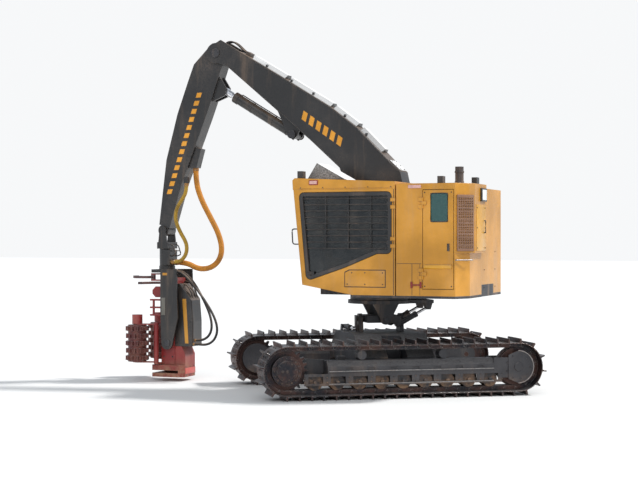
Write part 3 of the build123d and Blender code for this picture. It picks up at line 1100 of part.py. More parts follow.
with BuildPart() as head_frame:
    block(FRAME_X, (-HEAD_HALF, HEAD_HALF), FRAME_Z)
    throat = ((FRAME_X[1] - 5, THROAT_Z[1]), (FRAME_X[1] - 5, THROAT_Z[0]),
              (THROAT_X - THROAT_CORNER, THROAT_Z[0]), (THROAT_X, THROAT_Z[0] + THROAT_CORNER),
              (THROAT_X, THROAT_Z[1] - THROAT_CORNER), (THROAT_X - THROAT_CORNER, THROAT_Z[1]))
    side_slab(throat, -HEAD_HALF, HEAD_HALF)
    block((FRAME_X[1] - 6, THROAT_X + 1), (-THROAT_HALF, THROAT_HALF),
          (THROAT_Z[0] - 1, THROAT_Z[1] + 1), Mode.SUBTRACT)
    cross_bar(TILT_PIVOT, -TILT_ARM_Y[1] - 10, TILT_ARM_Y[1] + 10, TILT_PIN_RADIUS)
    for side in SIDE_NAMES:
        boss = both_sides((HEAD_HALF - 5, TILT_ARM_Y[0] - EYE_GAP), side)
        cross_bar(TILT_PIVOT, *boss, TILT_ARM_RADIUS - 15)
        knife_low = knife_level(side)
        pivots = ((KNIFE_PIVOT, KNIFE_HUB_RADIUS, KNIFE_PIN_RADIUS, knife_low, knife_low + KNIFE_HUB),
                  (FEED_PIVOT, FEED_HUB_RADIUS, FEED_PIN_RADIUS, *FEED_ARM_Z))
        for pivot, hub_radius, pin_radius, low, high in pivots:
            spot = (pivot[0], side * pivot[1])
            lug = [(x, side * y) for x, y in ((FRAME_X[1] - 90, HEAD_HALF - 60),
                                              (FRAME_X[1] - 60, HEAD_HALF + 5),
                                              (pivot[0], pivot[1] + hub_radius),
                                              (pivot[0] + hub_radius, pivot[1]),
                                              (FRAME_X[1] - 10, HEAD_HALF - 60))]
            for lug_low in (low - HEAD_LUG - SEAT, high + SEAT):
                plan_slab(lug, lug_low, lug_low + HEAD_LUG)
                upright(spot, lug_low, lug_low + HEAD_LUG, hub_radius)
            upright(spot, low - HEAD_LUG, high + HEAD_LUG, pin_radius)
        shelf = [(x, side * y) for x, y in ((FRAME_X[1] - 120, HEAD_HALF - 5),
                                            (FRAME_X[1] - 60, TILT_ARM_Y[0] - 15),
                                            (SHELF_REACH, TILT_ARM_Y[0] - 15),
                                            (SHELF_REACH + 30, TILT_ARM_Y[0] - 50),
                                            (SHELF_REACH - 70, HEAD_HALF - 5))]
        for level in SHELF_LEVELS:
            plan_slab(shelf, level, level + SHELF_PLATE)
        upright((SHELF_REACH - 50, side * (TILT_ARM_Y[0] - 55)), SHELF_LEVELS[0],
                SHELF_LEVELS[-1] + SHELF_PLATE, SHELF_POST_RADIUS)
keep(head_frame, "head_frame")

with BuildPart() as head_cover:
    cover_front = FRAME_X[0] - SEAT
    cover = ((cover_front, COVER_Z[1]), (3834, COVER_Z[1]), (3600, 1490), (COVER_BACK, 1108),
             (COVER_BACK, COVER_Z[0] + 14), (COVER_BACK + 20, COVER_Z[0]), (cover_front, COVER_Z[0]))
    side_slab(cover, -COVER_HALF, COVER_HALF)
    fillet(head_cover.edges().filter_by(Axis.Z).group_by(Axis.X)[0], radius=40)
keep(head_cover, "head_cover")

with BuildPart() as saw_box:
    saw_plan = ((SAW_X[0], SAW_REAR_HALF), (SAW_X[0] + SAW_REAR_CORNER, SAW_HALF),
                (SAW_X[1], SAW_HALF), (SAW_X[1], -SAW_HALF),
                (SAW_X[0] + SAW_REAR_CORNER, -SAW_HALF), (SAW_X[0], -SAW_REAR_HALF))
    plan_slab(saw_plan, *SAW_Z)
    hump = ((SAW_X[0], SAW_Z[1] - 5), (FRAME_X[0] - SEAT, SAW_Z[1] - 5),
            (FRAME_X[0] - SEAT, SAW_HUMP_TOP), (SAW_X[0] + 70, SAW_HUMP_TOP),
            (SAW_X[0], SAW_HUMP_TOP - 150))
    side_slab(hump, -SAW_REAR_HALF, SAW_REAR_HALF)
    block((SAW_X[0] + SAW_REAR_CORNER, SAW_X[1] + 1), (SAW_WALL - SAW_HALF, SAW_HALF + 1),
          SAW_SLOT_Z, Mode.SUBTRACT)
    upright(SAW_PIVOT, SAW_SLOT_Z[0] - 5, SAW_SLOT_Z[1] + 5, SAW_SPINDLE_RADIUS)
    upright(SAW_PIVOT, SAW_SLOT_Z[0] - 5, SAW_BAR_Z[0] - SEAT, SAW_COLLAR_RADIUS)
    upright(SAW_PIVOT, SAW_BAR_Z[1] + SEAT, SAW_SLOT_Z[1] + 5, SAW_COLLAR_RADIUS)
keep(saw_box, "saw_box")

with BuildPart() as saw_bar:
    with BuildSketch(Plane.XY.offset(SAW_BAR_Z[0])):
        with Locations((SAW_PIVOT[0] - SAW_BAR_SIZE[0] / 2 + SAW_BAR_SIZE[1] / 2, SAW_PIVOT[1])):
            SlotOverall(*SAW_BAR_SIZE)
    extrude(amount=SAW_BAR_Z[1] - SAW_BAR_Z[0])
    upright(SAW_PIVOT, SAW_BAR_Z[0] - 1, SAW_BAR_Z[1] + 1, SAW_SPINDLE_RADIUS + PIN_FIT, Mode.SUBTRACT)
keep(saw_bar, "saw_bar")


def knife_blade(side):
    """Curved blade of a delimbing knife, thinner along its cutting edge."""
    with BuildSketch(Plane.XY.offset(knife_level(side) + (KNIFE_HUB - KNIFE_BLADE) / 2)) as drawn:
        with BuildLine():
            Spline(*[(x, side * y) for x, y in BLADE_OUTSIDE])
            Line((BLADE_OUTSIDE[-1][0], side * BLADE_OUTSIDE[-1][1]),
                 (BLADE_INSIDE[0][0], side * BLADE_INSIDE[0][1]))
            Spline(*[(x, side * y) for x, y in BLADE_INSIDE])
            Line((BLADE_INSIDE[-1][0], side * BLADE_INSIDE[-1][1]),
                 (BLADE_OUTSIDE[0][0], side * BLADE_OUTSIDE[0][1]))
        make_face()
    return drawn.sketch


for side, side_name in SIDE_NAMES.items():
    with BuildPart() as knife:
        pivot = (KNIFE_PIVOT[0], side * KNIFE_PIVOT[1])
        low = knife_level(side)
        upright(pivot, low, low + KNIFE_HUB, KNIFE_HUB_RADIUS)
        extrude(knife_blade(side), amount=KNIFE_BLADE)
        upright(pivot, low - 1, low + KNIFE_HUB + 1, KNIFE_PIN_RADIUS + PIN_FIT, Mode.SUBTRACT)
    keep(knife, f"delimbing_knife_{side_name}")

    with BuildPart() as feed_arm:
        pivot = (FEED_PIVOT[0], side * FEED_PIVOT[1])
        upright(pivot, *FEED_ARM_Z, FEED_HUB_RADIUS)
        for level in (FEED_ARM_Z[0], FEED_ARM_Z[1] - FEED_ARM_PLATE):
            arm_points = ((FEED_PIVOT[0] - 40, FEED_PIVOT[1] - 5), (FEED_PIVOT[0] - 30, FEED_PIVOT[1] + 40),
                          (FEED_X - 40, FEED_Y + 75), (FEED_X + 60, FEED_Y + 50),
                          (FEED_X + 75, FEED_Y - 35), (FEED_X - 20, FEED_Y - 75),
                          (FEED_PIVOT[0] + 30, FEED_PIVOT[1] - 38))
            plan_slab([(x, side * y) for x, y in arm_points], level, level + FEED_ARM_PLATE)
        upright(pivot, FEED_ARM_Z[0] - 1, FEED_ARM_Z[1] + 1, FEED_PIN_RADIUS + PIN_FIT, Mode.SUBTRACT)
        upright((FEED_X, side * FEED_Y), FEED_ARM_Z[1] - 5, FEED_ARM_Z[1] + FEED_MOTOR_HEIGHT,
                FEED_MOTOR_RADIUS)
    keep(feed_arm, f"feed_arm_{side_name}")

    with BuildPart() as feed_roller:
        spot = (FEED_X, side * FEED_Y)
        roller_z = (FEED_ARM_Z[0] + FEED_ARM_PLATE + SEAT, FEED_ARM_Z[1] - FEED_ARM_PLATE - SEAT)
        upright(spot, *roller_z, FEED_RADIUS)
        row_height = (roller_z[1] - roller_z[0]) / FEED_SPIKE_ROWS
        for row in range(FEED_SPIKE_ROWS):
            spikes = []
            for count in range(FEED_SPIKES):
                for share, reach in ((-0.34, -5), (-0.1, FEED_SPIKE), (0.1, FEED_SPIKE), (0.34, -5)):
                    turn = 2 * pi * (count + share + 0.5 * (row % 2)) / FEED_SPIKES
                    spikes.append((spot[0] + (FEED_RADIUS + reach) * cos(turn),
                                   spot[1] + (FEED_RADIUS + reach) * sin(turn)))
            row_low = roller_z[0] + (row + 0.2) * row_height
            plan_slab(spikes, row_low, row_low + 0.6 * row_height)
    keep(feed_roller, f"feed_roller_{side_name}")

# Hoses
# Each has its diameter and the points of its route
SLEEVE = (100.0, ((3592, 20, 3925), (3592, 20, 3660), (3490, 0, 3340), (3310, -20, 3010),
                  (3150, -30, 2720), (3075, -30, 2440), (3130, -20, 2220), (3300, 0, 2080),
                  (3550, 5, 2062), (3800, 5, 2190), (4050, 5, 2190)))
SUPPLY = (70.0, ((3700, 188, 3640), (3700, 188, 3490), (3790, 190, 3340), (3900, 194, 3190),
                 (3930, 196, 3010), (3885, 192, 2860), (3815, 186, 2720), (3745, 178, 2610),
                 (3705, 165, 2500), (3716, 150, 2370), (3792, 135, 2253), (3916, 125, 2187),
                 (4050, 125, 2187)))
LOOP_INNER = (45.0, ((4010, 110, 2030), (3880, 110, 2030), (3750, 112, 1975), (3620, 116, 1860),
                     (3490, 122, 1690), (3350, 128, 1450), (3240, 132, 1220), (3205, 132, 1020),
                     (3245, 126, 880), (3340, 118, 792), (3453, 112, 757),
                     (COVER_BACK - SEAT, 112, 757)))
LOOP_OUTER = (45.0, ((4010, 200, 2030), (3880, 200, 2030), (3740, 198, 1965), (3590, 194, 1820),
                     (3420, 190, 1620), (3240, 186, 1380), (3110, 182, 1150), (3070, 178, 960),
                     (3115, 176, 810), (3215, 174, 715), (3338, 172, 682), (3455, 172, 690),
                     (COVER_BACK - SEAT, 172, 690)))
TIP_ROUTE = ((2537, 5994.5), (2598, 6031), (2655, 6085), (2722, 6150), (2800, 6203), (2891, 6222),
             (2962, 6197), (3001.9, 6140.1))
TIP_LEFT = (32.0, [(x, 45, z) for x, z in TIP_ROUTE])
TIP_RIGHT = (32.0, [(x, -45, z) for x, z in TIP_ROUTE])


def hose(diameter, points):
    """Round hose along straight runs joined by wide arcs."""
    spots = [Vector(*point) for point in points]
    radii = []
    for before, corner, after in zip(spots, spots[1:], spots[2:]):
        turn = radians((corner - before).get_angle(after - corner))
        shorter = min((corner - before).length, (after - corner).length)
        radii.append(0.45 * shorter / tan(turn / 2))
    with BuildPart() as tube:
        with BuildLine() as route:
            FilletPolyline(*spots, radius=radii)
        with BuildSketch(Plane(origin=spots[0], z_dir=spots[1] - spots[0])):
            Circle(diameter / 2)
        sweep(path=route.wires()[0])
    length = route.wires()[0].length
    section = pi * diameter ** 2 / 4
    print("hose length", round(length), "volume share", round(tube.part.volume / (section * length), 4),
          "smallest radius in diameters", round(min(radii) / diameter, 1))
    return tube


for label, (diameter, points) in {"hose_sleeve": SLEEVE, "supply_hose": SUPPLY,
                                  "head_hose_inner": LOOP_INNER,
                                  "head_hose_outer": LOOP_OUTER, "tip_hose_left": TIP_LEFT,
                                  "tip_hose_right": TIP_RIGHT}.items():
    keep(hose(diameter, points), label)

HOSE_BOX_Z = (SLEEVE[1][0][2], 4300.0)
HOSE_BOX_DEPTH = (165.0, 110.0)
SUPPLY_BLOCK = (80.0, 75.0, 120.0)


def stick_rear_x(height):
    """X of the stick's long rear face at a height."""
    low, high = stick_spot(*STICK_REAR[1]), stick_spot(*STICK_REAR[2])
    return low[0] + (height - low[1]) * (high[0] - low[0]) / (high[1] - low[1])


with BuildPart() as hose_bracket:
    foot_x, top_x = [stick_rear_x(height) - SEAT for height in HOSE_BOX_Z]
    hose_box = ((top_x, HOSE_BOX_Z[1]), (top_x - HOSE_BOX_DEPTH[1], HOSE_BOX_Z[1] - 30),
                (foot_x - HOSE_BOX_DEPTH[0], HOSE_BOX_Z[0]), (foot_x, HOSE_BOX_Z[0]))
    side_slab(hose_box, -70, 110)
    gland = SUPPLY[1][0]
    block(span(gland[0], SUPPLY_BLOCK[0]),
          (STICK_HALF_WIDTH + SEAT, STICK_HALF_WIDTH + SEAT + SUPPLY_BLOCK[1]),
          (gland[2], gland[2] + SUPPLY_BLOCK[2]))
keep(hose_bracket, "hose_bracket")

# Placing and export
box = Compound(children=[solid.moved(Location()) for solid in finished]).bounding_box()
shift = Vector(-(box.min.X + box.max.X) / 2, -(box.min.Y + box.max.Y) / 2, -box.min.Z)
for solid in finished:
    placed = solid.moved(Location(shift))
    placed.label = solid.label
    export_step(placed, f"parts/{placed.label}.step")
print("box", box.size, "shift", shift)
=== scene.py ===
"""Dresses the forestry processor: camera and light, hoses, finishes and small detail.

Metres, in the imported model's frame. X runs forward along the boom, Y to the machine's left
and Z up from the ground. Places are given about the slewing axis, and HERE moves them into
the frame; on the undercarriage they are given along its tracks, and TRACKS turns them.
"""
import json
import math

import bmesh
import bpy
from mathutils import Matrix, Vector


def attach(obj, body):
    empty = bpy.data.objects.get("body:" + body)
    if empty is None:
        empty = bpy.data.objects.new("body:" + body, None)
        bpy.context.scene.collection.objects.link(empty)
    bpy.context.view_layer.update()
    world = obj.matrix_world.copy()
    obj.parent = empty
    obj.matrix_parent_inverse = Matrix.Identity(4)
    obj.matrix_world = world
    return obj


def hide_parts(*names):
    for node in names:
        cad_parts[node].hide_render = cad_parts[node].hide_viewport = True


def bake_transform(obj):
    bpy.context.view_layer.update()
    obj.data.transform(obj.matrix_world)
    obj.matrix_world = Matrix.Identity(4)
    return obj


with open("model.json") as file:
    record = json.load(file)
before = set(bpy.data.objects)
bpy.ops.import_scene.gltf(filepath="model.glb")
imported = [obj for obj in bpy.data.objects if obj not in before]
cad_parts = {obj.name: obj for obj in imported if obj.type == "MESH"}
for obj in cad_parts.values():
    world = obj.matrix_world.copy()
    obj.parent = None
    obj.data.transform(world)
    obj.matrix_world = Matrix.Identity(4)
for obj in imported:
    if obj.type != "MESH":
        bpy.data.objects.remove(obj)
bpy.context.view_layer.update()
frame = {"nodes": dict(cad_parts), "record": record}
joints = {joint["name"]: joint for joint in frame["record"]["behaviour"]["joints"]}

SLEW_X = joints["slew"]["pos_m"][0]
ALONG = Vector(joints["roll"]["axis"])
HERE = Matrix.Translation((SLEW_X, 0, 0))
TRACKS = HERE @ Matrix.Rotation(math.atan2(ALONG.y, ALONG.x), 4, "Z")

# The track chains: their middle, the links' pitch and number, the wrap round an axle, the shoes'
# outer face above the pitch line, and the width of the worn line on a rub rail
TRACK_MID = 1.325
PITCH = 0.2032
SHOES = 50
WRAP = 0.360
AXLE_Z = 0.478
SHOE_TOP = 0.046
RAIL_WEAR = 0.013
AXLE_GAP = (SHOES * PITCH - 2 * math.pi * WRAP) / 2


def here(x, y, z):
    """A place about the slewing axis, in the frame."""
    return Vector((x + SLEW_X, y, z))


# Camera: level, a little higher than a person, to the machine's left and slightly behind
CAMERA_SPOT = (-8.188, 23.116, 2.6)
CAMERA_TURN = math.radians(22)
LENS = 79.0


def make_camera():
    camera = bpy.data.cameras.new("camera")
    camera.lens = LENS
    camera.sensor_width = 36
    camera.clip_end = 300
    holder = bpy.data.objects.new("camera", camera)
    bpy.context.scene.collection.objects.link(holder)
    holder.location = here(*CAMERA_SPOT)
    look = Vector((math.sin(CAMERA_TURN), -math.cos(CAMERA_TURN), 0))
    holder.rotation_euler = look.to_track_quat("-Z", "Y").to_euler()
    bpy.context.scene.camera = holder


# Hoses: diameter, points of the route about the slewing axis, and the length of the route
SLEEVE = (0.100, ((3.592, 0.020, 3.925), (3.592, 0.020, 3.660), (3.490, 0, 3.340),
                  (3.310, -0.020, 3.010), (3.150, -0.030, 2.720), (3.075, -0.030, 2.440),
                  (3.130, -0.020, 2.220), (3.300, 0, 2.080), (3.550, 0.005, 2.062),
                  (3.800, 0.005, 2.190), (4.050, 0.005, 2.190)), 2.80)
SUPPLY = (0.070, ((3.700, 0.188, 3.640), (3.700, 0.188, 3.490), (3.790, 0.190, 3.340),
                  (3.900, 0.194, 3.190), (3.930, 0.196, 3.010), (3.885, 0.192, 2.860),
                  (3.815, 0.186, 2.720), (3.745, 0.178, 2.610), (3.705, 0.165, 2.500),
                  (3.716, 0.150, 2.370), (3.792, 0.135, 2.253), (3.916, 0.125, 2.187),
                  (4.050, 0.125, 2.187)), 1.78)
LOOP_INNER = (0.045, ((4.010, 0.110, 2.030), (3.880, 0.110, 2.030), (3.750, 0.112, 1.975),
                      (3.620, 0.116, 1.860), (3.490, 0.122, 1.690), (3.350, 0.128, 1.450),
                      (3.240, 0.132, 1.220), (3.205, 0.132, 1.020), (3.245, 0.126, 0.880),
                      (3.340, 0.118, 0.792), (3.453, 0.112, 0.757), (3.5677, 0.112, 0.757)), 1.89)
LOOP_OUTER = (0.045, ((4.010, 0.200, 2.030), (3.880, 0.200, 2.030), (3.740, 0.198, 1.965),
                      (3.590, 0.194, 1.820), (3.420, 0.190, 1.620), (3.240, 0.186, 1.380),
                      (3.110, 0.182, 1.150), (3.070, 0.178, 0.960), (3.115, 0.176, 0.810),
                      (3.215, 0.174, 0.715), (3.338, 0.172, 0.682), (3.455, 0.172, 0.690),
                      (3.5677, 0.172, 0.690)), 2.15)
TIP_ROUTE = ((2.537, 5.9945), (2.598, 6.031), (2.655, 6.085), (2.722, 6.150), (2.800, 6.203),
             (2.891, 6.222), (2.962, 6.197), (3.0019, 6.1401))
TIP_HOSE_Y = 0.045


def make_hose(name, node, facts, material):
    """A hose as one smooth tube along its route."""
    diameter, points, length = facts
    curve = bpy.data.curves.new(name, "CURVE")
    curve.dimensions = "3D"
    curve.resolution_u = 10
    spline = curve.splines.new("NURBS")
    spline.points.add(len(points) - 1)
    for point, place in zip(spline.points, points):
        point.co = (*here(*place), 1)
    spline.order_u = 3
    spline.use_endpoint_u = True
    line = bpy.data.objects.new(name + " line", curve)
    bpy.context.scene.collection.objects.link(line)
    path = [tuple(vertex.co) for vertex in as_mesh(line).vertices]
    curve.bevel_depth = diameter / 2
    curve.bevel_resolution = 6
    curve.use_fill_caps = True
    hose = bpy.data.objects.new(name, as_mesh(line))
    bpy.context.scene.collection.objects.link(hose)
    bpy.data.objects.remove(line)
    for face in hose.data.polygons:
        face.use_smooth = True
    hose.data.materials.clear()
    hose.data.materials.append(material)
    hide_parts(node)
    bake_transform(hose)
    return hose


def as_mesh(line):
    """The mesh of a curve as it stands now."""
    bpy.context.view_layer.update()
    seen = line.evaluated_get(bpy.context.evaluated_depsgraph_get())
    return bpy.data.meshes.new_from_object(seen)


AXES = "xyz"


def spot_on(axis, first, second, level):
    """A place from two coordinates across an axis and one along it."""
    rest = [first, second]
    return Vector([level if letter == axis else rest.pop(0) for letter in AXES])


class Kit:
    """One added piece, gathered from small closed forms in mesh code."""

    def __init__(self, name, body, slot, place=HERE, bevel=0.0, finish=None):
        self.form = bmesh.new()
        self.name, self.body, self.slot = name, body, slot
        self.place, self.bevel = place, bevel
        self.finish = finish or finishes[slot]

    def loft(self, rings, closed=False):
        """Joins rings of as many corners each; caps the ends, or joins the last to the first."""
        rows = [[self.form.verts.new(corner) for corner in ring] for ring in rings]
        pairs = list(zip(rows, rows[1:]))
        if closed:
            pairs.append((rows[-1], rows[0]))
        for low, high in pairs:
            for i in range(len(low)):
                j = (i + 1) % len(low)
                self.form.faces.new((low[i], low[j], high[j], high[i]))
        if not closed:
            self.form.faces.new(reversed(rows[0]))
            self.form.faces.new(rows[-1])

    def slab(self, outline, axis, low, high):
        """An outline drawn across an axis, from low to high along it."""
        self.loft([[spot_on(axis, *corner, level) for corner in outline] for level in (low, high)])

    def box(self, x, y, z):
        """A block given by its limits."""
        self.slab(((x[0], y[0]), (x[1], y[0]), (x[1], y[1]), (x[0], y[1])), "z", *z)

    def rod(self, start, end, radius, sides=16, chamfer=0.0, turn=0.0):
        """A round bar, its ends chamfered if asked."""
        start, end = Vector(start), Vector(end)
        ahead = (end - start).normalized() * chamfer
        steps = [(start, radius - chamfer), (start + ahead, radius), (end - ahead, radius),
                 (end, radius - chamfer)]
        if not chamfer:
            steps = [(start, radius), (end, radius)]
        self.loft([disc(centre, end - start, size, sides, turn) for centre, size in steps])

    def tube(self, start, end, outer, inner, sides=24):
        """A round tube or ring."""
        reach = Vector(end) - Vector(start)
        self.loft([disc(centre, reach, size, sides) for centre, size in (
            (start, outer), (end, outer), (end, inner), (start, inner))], closed=True)

    def bolt(self, centre, normal, size):
        """A hexagon head on its washer."""
        centre, normal = Vector(centre), Vector(normal).normalized()
        self.rod(centre - normal * size * 0.1, centre + normal * size * 0.2, size * 1.35, 12)
        self.rod(centre, centre + normal * size * 0.85, size, 6, size * 0.12)

    def bolt_ring(self, centre, normal, radius, count, size, turn=0.0):
        """Bolts evenly spaced round a centre."""
        for corner in disc(centre, normal, radius, count, turn):
            self.bolt(corner, normal, size)

    def pipe(self, points, radius, bend=0.06, sides=10):
        """A pipe along a path whose corners are bent round."""
        path = bent(points, bend)
        rings = []
        for i, centre in enumerate(path):
            ahead = path[min(i + 1, len(path) - 1)] - path[max(i - 1, 0)]
            rings.append(disc(centre, ahead, radius, sides))
        self.loft(rings)

    def weld(self, points, size=0.006, step=0.012):
        """A rippled weld bead along straight lines between points."""
        for start, end in zip(points, points[1:]):
            start, end = Vector(start), Vector(end)
            count = max(2, int((end - start).length / step))
            self.loft([disc(start.lerp(end, i / count), end - start, size * (1.15 if i % 2 else 0.85), 6)
                       for i in range(count + 1)])

    def make(self):
        """Makes the piece, gives it its finish and seats it on its body."""
        bmesh.ops.recalc_face_normals(self.form, faces=self.form.faces)
        mesh = bpy.data.meshes.new(self.name)
        self.form.to_mesh(mesh)
        self.form.free()
        mesh.transform(self.place)
        piece = bpy.data.objects.new(self.name, mesh)
        bpy.context.scene.collection.objects.link(piece)
        if self.bevel:
            rounded = piece.modifiers.new("edges", "BEVEL")
            rounded.width = self.bevel
            rounded.segments = 2
            rounded.limit_method = "ANGLE"
            piece.data = as_mesh(piece)
            piece.modifiers.clear()
        piece.data.shade_smooth()
        piece.data.set_sharp_from_angle(angle=math.radians(38))
        piece.data.materials.clear()
        piece.data.materials.append(self.finish)
        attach(piece, self.body)
        return piece


def disc(centre, normal, radius, sides, turn=0.0):
    """Corners of a regular outline round a centre."""
    lay = Vector(normal).to_track_quat("Z", "Y")
    turns = [turn + 2 * math.pi * i / sides for i in range(sides)]
    return [Vector(centre) + lay @ Vector((radius * math.cos(t), radius * math.sin(t), 0)) for t in turns]


def bent(points, bend, steps=5):
    """A path with a round bend in place of each corner."""
    points = [Vector(point) for point in points]
    path = [points[0]]
    for before, corner, after in zip(points, points[1:], points[2:]):
        reach = min(bend, (corner - before).length / 2, (after - corner).length / 2)
        first = corner + (before - corner).normalized() * reach
        last = corner + (after - corner).normalized() * reach
        for i in range(steps + 1):
            share = i / steps
            path.append(first.lerp(corner, share).lerp(corner.lerp(last, share), share))
    return path + [points[-1]]


class Net:
    """A material's node tree, built by short calls."""

    def __init__(self, name):
        self.material = bpy.data.materials.new(name)
        self.material.use_nodes = True
        self.tree = self.material.node_tree
        self.tree.nodes.clear()
        self.shader = self.add("ShaderNodeBsdfPrincipled")
        output = self.add("ShaderNodeOutputMaterial")
        self.join(self.shader.outputs[0], output.inputs["Surface"])
        self.place = self.add("ShaderNodeTexCoord")

    def add(self, kind, **settings):
        node = self.tree.nodes.new(kind)
        for key, value in settings.items():
            setattr(node, key, value)
        return node

    def join(self, source, target):
        self.tree.links.new(source, target)

    def put(self, socket, value):
        """Links an output to an input, or sets the input's own value."""
        if isinstance(value, bpy.types.NodeSocket):
            self.join(value, socket)
        else:
            socket.default_value = value

    def noise(self, scale, detail=4, roughness=0.6, stretch=(1, 1, 1)):
        """Noise over the object, in waves per metre."""
        mapping = self.add("ShaderNodeMapping")
        mapping.inputs["Scale"].default_value = stretch
        self.join(self.place.outputs["Object"], mapping.inputs["Vector"])
        node = self.add("ShaderNodeTexNoise")
        self.join(mapping.outputs[0], node.inputs["Vector"])
        node.inputs["Scale"].default_value = scale
        node.inputs["Detail"].default_value = detail
        node.inputs["Roughness"].default_value = roughness
        return node.outputs["Fac"]

    def ramp(self, source, low, high, bottom=0.0, top=1.0):
        """A value from low to high, spread over bottom to top."""
        node = self.add("ShaderNodeMapRange", interpolation_type="SMOOTHSTEP")
        self.put(node.inputs["Value"], source)
        for key, value in zip(("From Min", "From Max", "To Min", "To Max"), (low, high, bottom, top)):
            node.inputs[key].default_value = value
        return node.outputs[0]

    def math(self, work, first, second=0.0):
        node = self.add("ShaderNodeMath", operation=work, use_clamp=work in ("ADD", "MULTIPLY"))
        self.put(node.inputs[0], first)
        self.put(node.inputs[1], second)
        return node.outputs[0]

    def mix(self, share, first, second):
        """Colour between first and second."""
        node = self.add("ShaderNodeMix", data_type="RGBA")
        self.put(node.inputs["Factor"], share)
        for key, colour in (("A", first), ("B", second)):
            socket = [s for s in node.inputs if s.name == key and s.type == "RGBA"][0]
            self.put(socket, colour if isinstance(colour, bpy.types.NodeSocket) else (*colour, 1))
        return [s for s in node.outputs if s.type == "RGBA"][0]

    def upward(self, low=0.2, high=0.9):
        """How far a face looks up, in the object's own frame."""
        split = self.add("ShaderNodeSeparateXYZ")
        self.join(self.place.outputs["Normal"], split.inputs[0])
        return self.ramp(split.outputs["Z"], low, high)

    def height(self, low, high):
        """From 1 at the low height to 0 at the high one."""
        split = self.add("ShaderNodeSeparateXYZ")
        self.join(self.place.outputs["Object"], split.inputs[0])
        return self.ramp(split.outputs["Z"], low, high, 1.0, 0.0)

    def edges(self, radius, low=0.02, high=0.25):
        """Where the surface turns within a radius, and its rounded normal."""
        bevel = self.add("ShaderNodeBevel", samples=6)
        bevel.inputs["Radius"].default_value = radius
        flat = self.add("ShaderNodeNewGeometry")
        dot = self.add("ShaderNodeVectorMath", operation="DOT_PRODUCT")
        self.join(bevel.outputs[0], dot.inputs[0])
        self.join(flat.outputs["True Normal"], dot.inputs[1])
        turn = self.math("SUBTRACT", 1.0, dot.outputs["Value"])
        return self.ramp(turn, low, high), bevel.outputs[0]

    def bump(self, height, distance, normal=None, strength=1.0):
        node = self.add("ShaderNodeBump")
        node.inputs["Strength"].default_value = strength
        node.inputs["Distance"].default_value = distance
        self.put(node.inputs["Height"], height)
        if normal is not None:
            self.join(normal, node.inputs["Normal"])
        self.join(node.outputs[0], self.shader.inputs["Normal"])


DUST = (0.46, 0.30, 0.19)
SOIL = (0.20, 0.095, 0.045)
RUST = (0.16, 0.055, 0.022)
BARE = (0.30, 0.29, 0.28)
PALE = (0.42, 0.41, 0.40)


def paint(name, colour, roughness, dust=0.5, chips=0.5, fade=0.12, soil=None, coat=0.0,
          edge=0.012, under=RUST, texture=0.0015, film=DUST, cover=0.35):
    """Sprayed steel: faded paint, a film on top faces, chips and rust along edges, soil low down. The top
    film is dust, and in the near-white top finish it is also a painted highlight.
    """
    net = Net(name)
    broad = net.noise(0.9, 5)
    streaks = net.noise(3.0, 6, 0.65, (1, 1, 0.12))
    fine = net.noise(38, 5, 0.7)
    speck = net.noise(140, 2, 0.5)
    darker = tuple(c * (1 - fade * 2.2) for c in colour)
    lighter = tuple(min(1, c * (1 + fade) + fade * 0.08) for c in colour)
    worn = net.mix(net.ramp(broad, 0.35, 0.68), darker, lighter)
    worn = net.mix(net.ramp(streaks, 0.50, 0.80, 0, fade * 3.2), worn, DUST)
    # The top-face film is dust; where the film is near-white and covers the tops fully, it is also a
    # painted highlight of the sunlit tops
    top = net.math("MULTIPLY", net.upward(), net.ramp(fine, 0.25, 0.65, cover, 1.0))
    haze = net.math("MULTIPLY", net.ramp(broad, 0.45, 0.75, 0.05, 0.5), net.ramp(fine, 0.3, 0.7))
    dusty = net.math("MULTIPLY", net.math("ADD", top, haze), dust)
    worn = net.mix(dusty, worn, film)
    edge_mask, rounded = net.edges(edge)
    chipped = net.math("MULTIPLY", edge_mask, net.ramp(fine, 0.50, 0.58))
    pits = net.math("MULTIPLY", net.ramp(fine, 0.68, 0.72), net.ramp(broad, 0.48, 0.62))
    chipped = net.math("MULTIPLY", net.math("ADD", chipped, pits), chips)
    worn = net.mix(chipped, worn, net.mix(net.ramp(speck, 0.4, 0.6), under, BARE))
    if soil:
        splash = net.math("MULTIPLY", net.height(*soil), net.ramp(net.noise(5, 6, 0.7), 0.38, 0.62))
        worn = net.mix(splash, worn, net.mix(fine, SOIL, DUST))
        chipped = net.math("ADD", chipped, splash)
    net.join(worn, net.shader.inputs["Base Color"])
    rough = net.math("ADD", net.math("MULTIPLY", net.math("ADD", dusty, chipped), 0.4),
                     net.ramp(fine, 0.3, 0.7, roughness - 0.05, roughness + 0.07))
    net.join(rough, net.shader.inputs["Roughness"])
    net.shader.inputs["Coat Weight"].default_value = coat
    net.shader.inputs["Coat Roughness"].default_value = 0.25
    net.bump(net.math("ADD", net.math("MULTIPLY", fine, 0.6), net.math("MULTIPLY", speck, 0.4)),
             texture, rounded)
    return net.material


